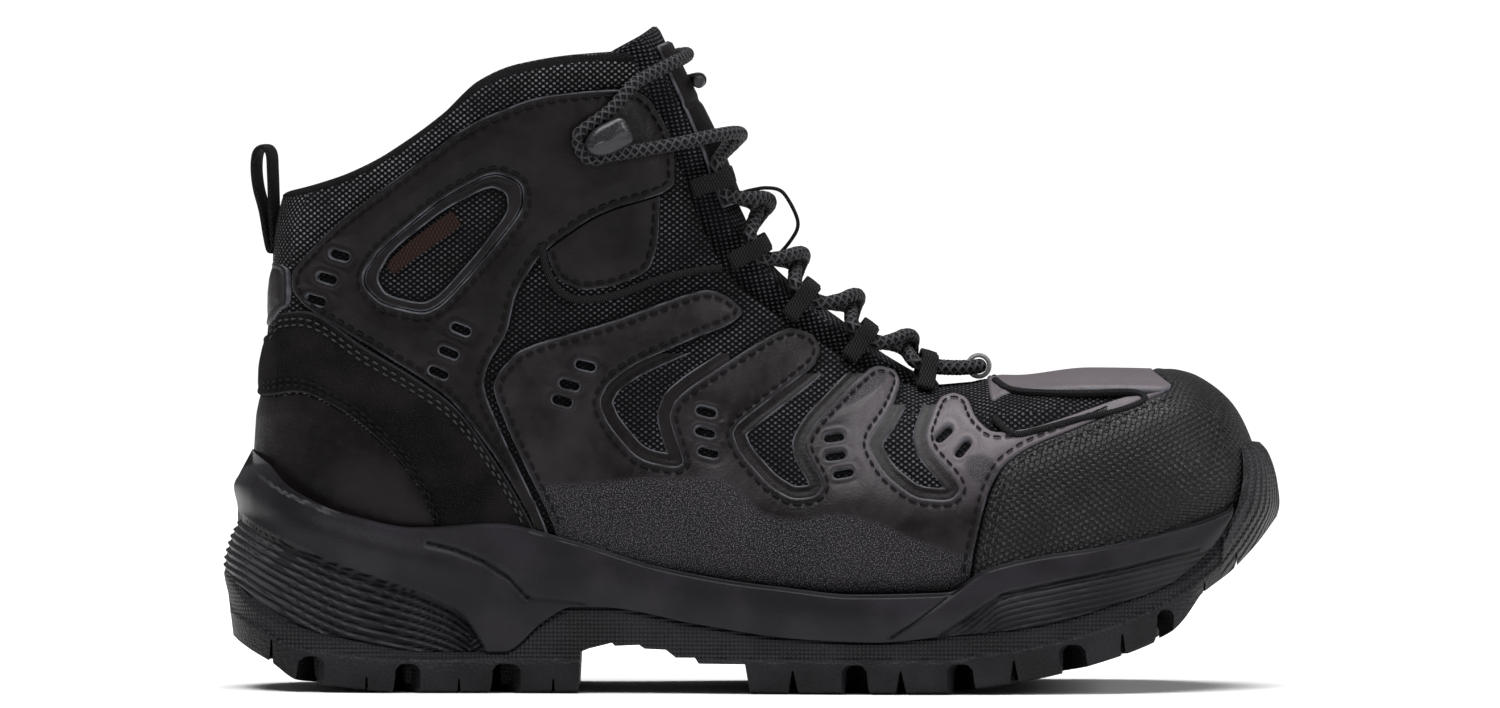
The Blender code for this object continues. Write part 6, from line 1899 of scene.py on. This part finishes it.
CAGE_LINE = rounded(CAGE, 2)
ANKLE_LINE = rounded(ANKLE, 2)
GUARD_LINE = rounded(TOE_GUARD_EDGE, 2)
WINDOW_LINE = rounded(WINDOW, 3)
RIM_LINE = rounded(WINDOW_INNER, 2)
TAB_LINE = rounded(BACK_TAB, 2)
SADDLE_LINE = rounded(VAMP_SADDLE, 2)
PANEL_LINE = rounded(EYESTAY_PANEL, 2)

materials = {
    "mesh": mesh_material("upper_mesh", dark=(0.0022, 0.0022, 0.0026), light=(0.072, 0.068, 0.076)),
    "collar": mesh_material("collar_mesh", (2.1, 1.7), (0.0025, 0.0025, 0.003), (0.150, 0.146, 0.156)),
    "tongue": mesh_material("tongue_mesh", (2.2, 1.7), (0.004, 0.004, 0.005), (0.075, 0.073, 0.080), 35.0),
    "satin": leather_material("leather_satin", (0.0055, 0.0045, 0.0050), (0.0165, 0.0142, 0.0160), 0.40,
                              (0.085, 0.080, 0.092)),
    "leather": leather_material("leather_dark", (0.0030, 0.0022, 0.0026), (0.0088, 0.0070, 0.0080), 0.44),
    "suede": suede_material(),
    "grip": grip_material(),
    "label": webbing_material("woven_patch", (0.013, 0.0065, 0.005), (0.036, 0.021, 0.016), 1.2),
    "lining": mesh_material("lining_cloth", (0.9, 0.9), (0.0035, 0.0035, 0.004), (0.014, 0.0135, 0.015)),
    "bed": mesh_material("footbed_cloth", (1.2, 1.2), (0.02, 0.02, 0.022), (0.07, 0.07, 0.075)),
    "midsole": rubber_material("midsole_foam", (0.0070, 0.0062, 0.0078), (0.0135, 0.0122, 0.0152), 0.36),
    "outsole": rubber_material("outsole_rubber", (0.0055, 0.0050, 0.0060), (0.0110, 0.0105, 0.0125), 0.5,
                               2.4, knurl=1.7, ridge=True),
    "webbing": webbing_material("webbing", (0.0040, 0.0038, 0.0042), (0.024, 0.023, 0.025)),
    "cord": webbing_material("piping_cord", (0.0045, 0.0045, 0.005), (0.030, 0.029, 0.032), 0.8),
    "braid": braid_material("lace_braid"),
    "plastic": plastic_material("hook_plastic", (0.010, 0.010, 0.012)),
    "ring": plastic_material("ring_plastic", (0.12, 0.12, 0.125), 0.45),
    "black": thread_material("thread_black", (0.0022, 0.0022, 0.0025)),
    "grey": thread_material("thread_grey", (0.018, 0.018, 0.020)),
}

surface = make_skin(SKIN_ROWS, SKIN_RING)
cast = Cast(surface)
build_base(surface, materials)
build_overlays(surface, materials)
build_seams(cast)
build_piping(cast, materials)
build_collar(surface, materials)
build_linings(surface, materials)
build_sole(materials)
build_tongue(materials)
build_pull_loop(materials)
build_lacing(materials)
build_stitches(materials)
build_studio()
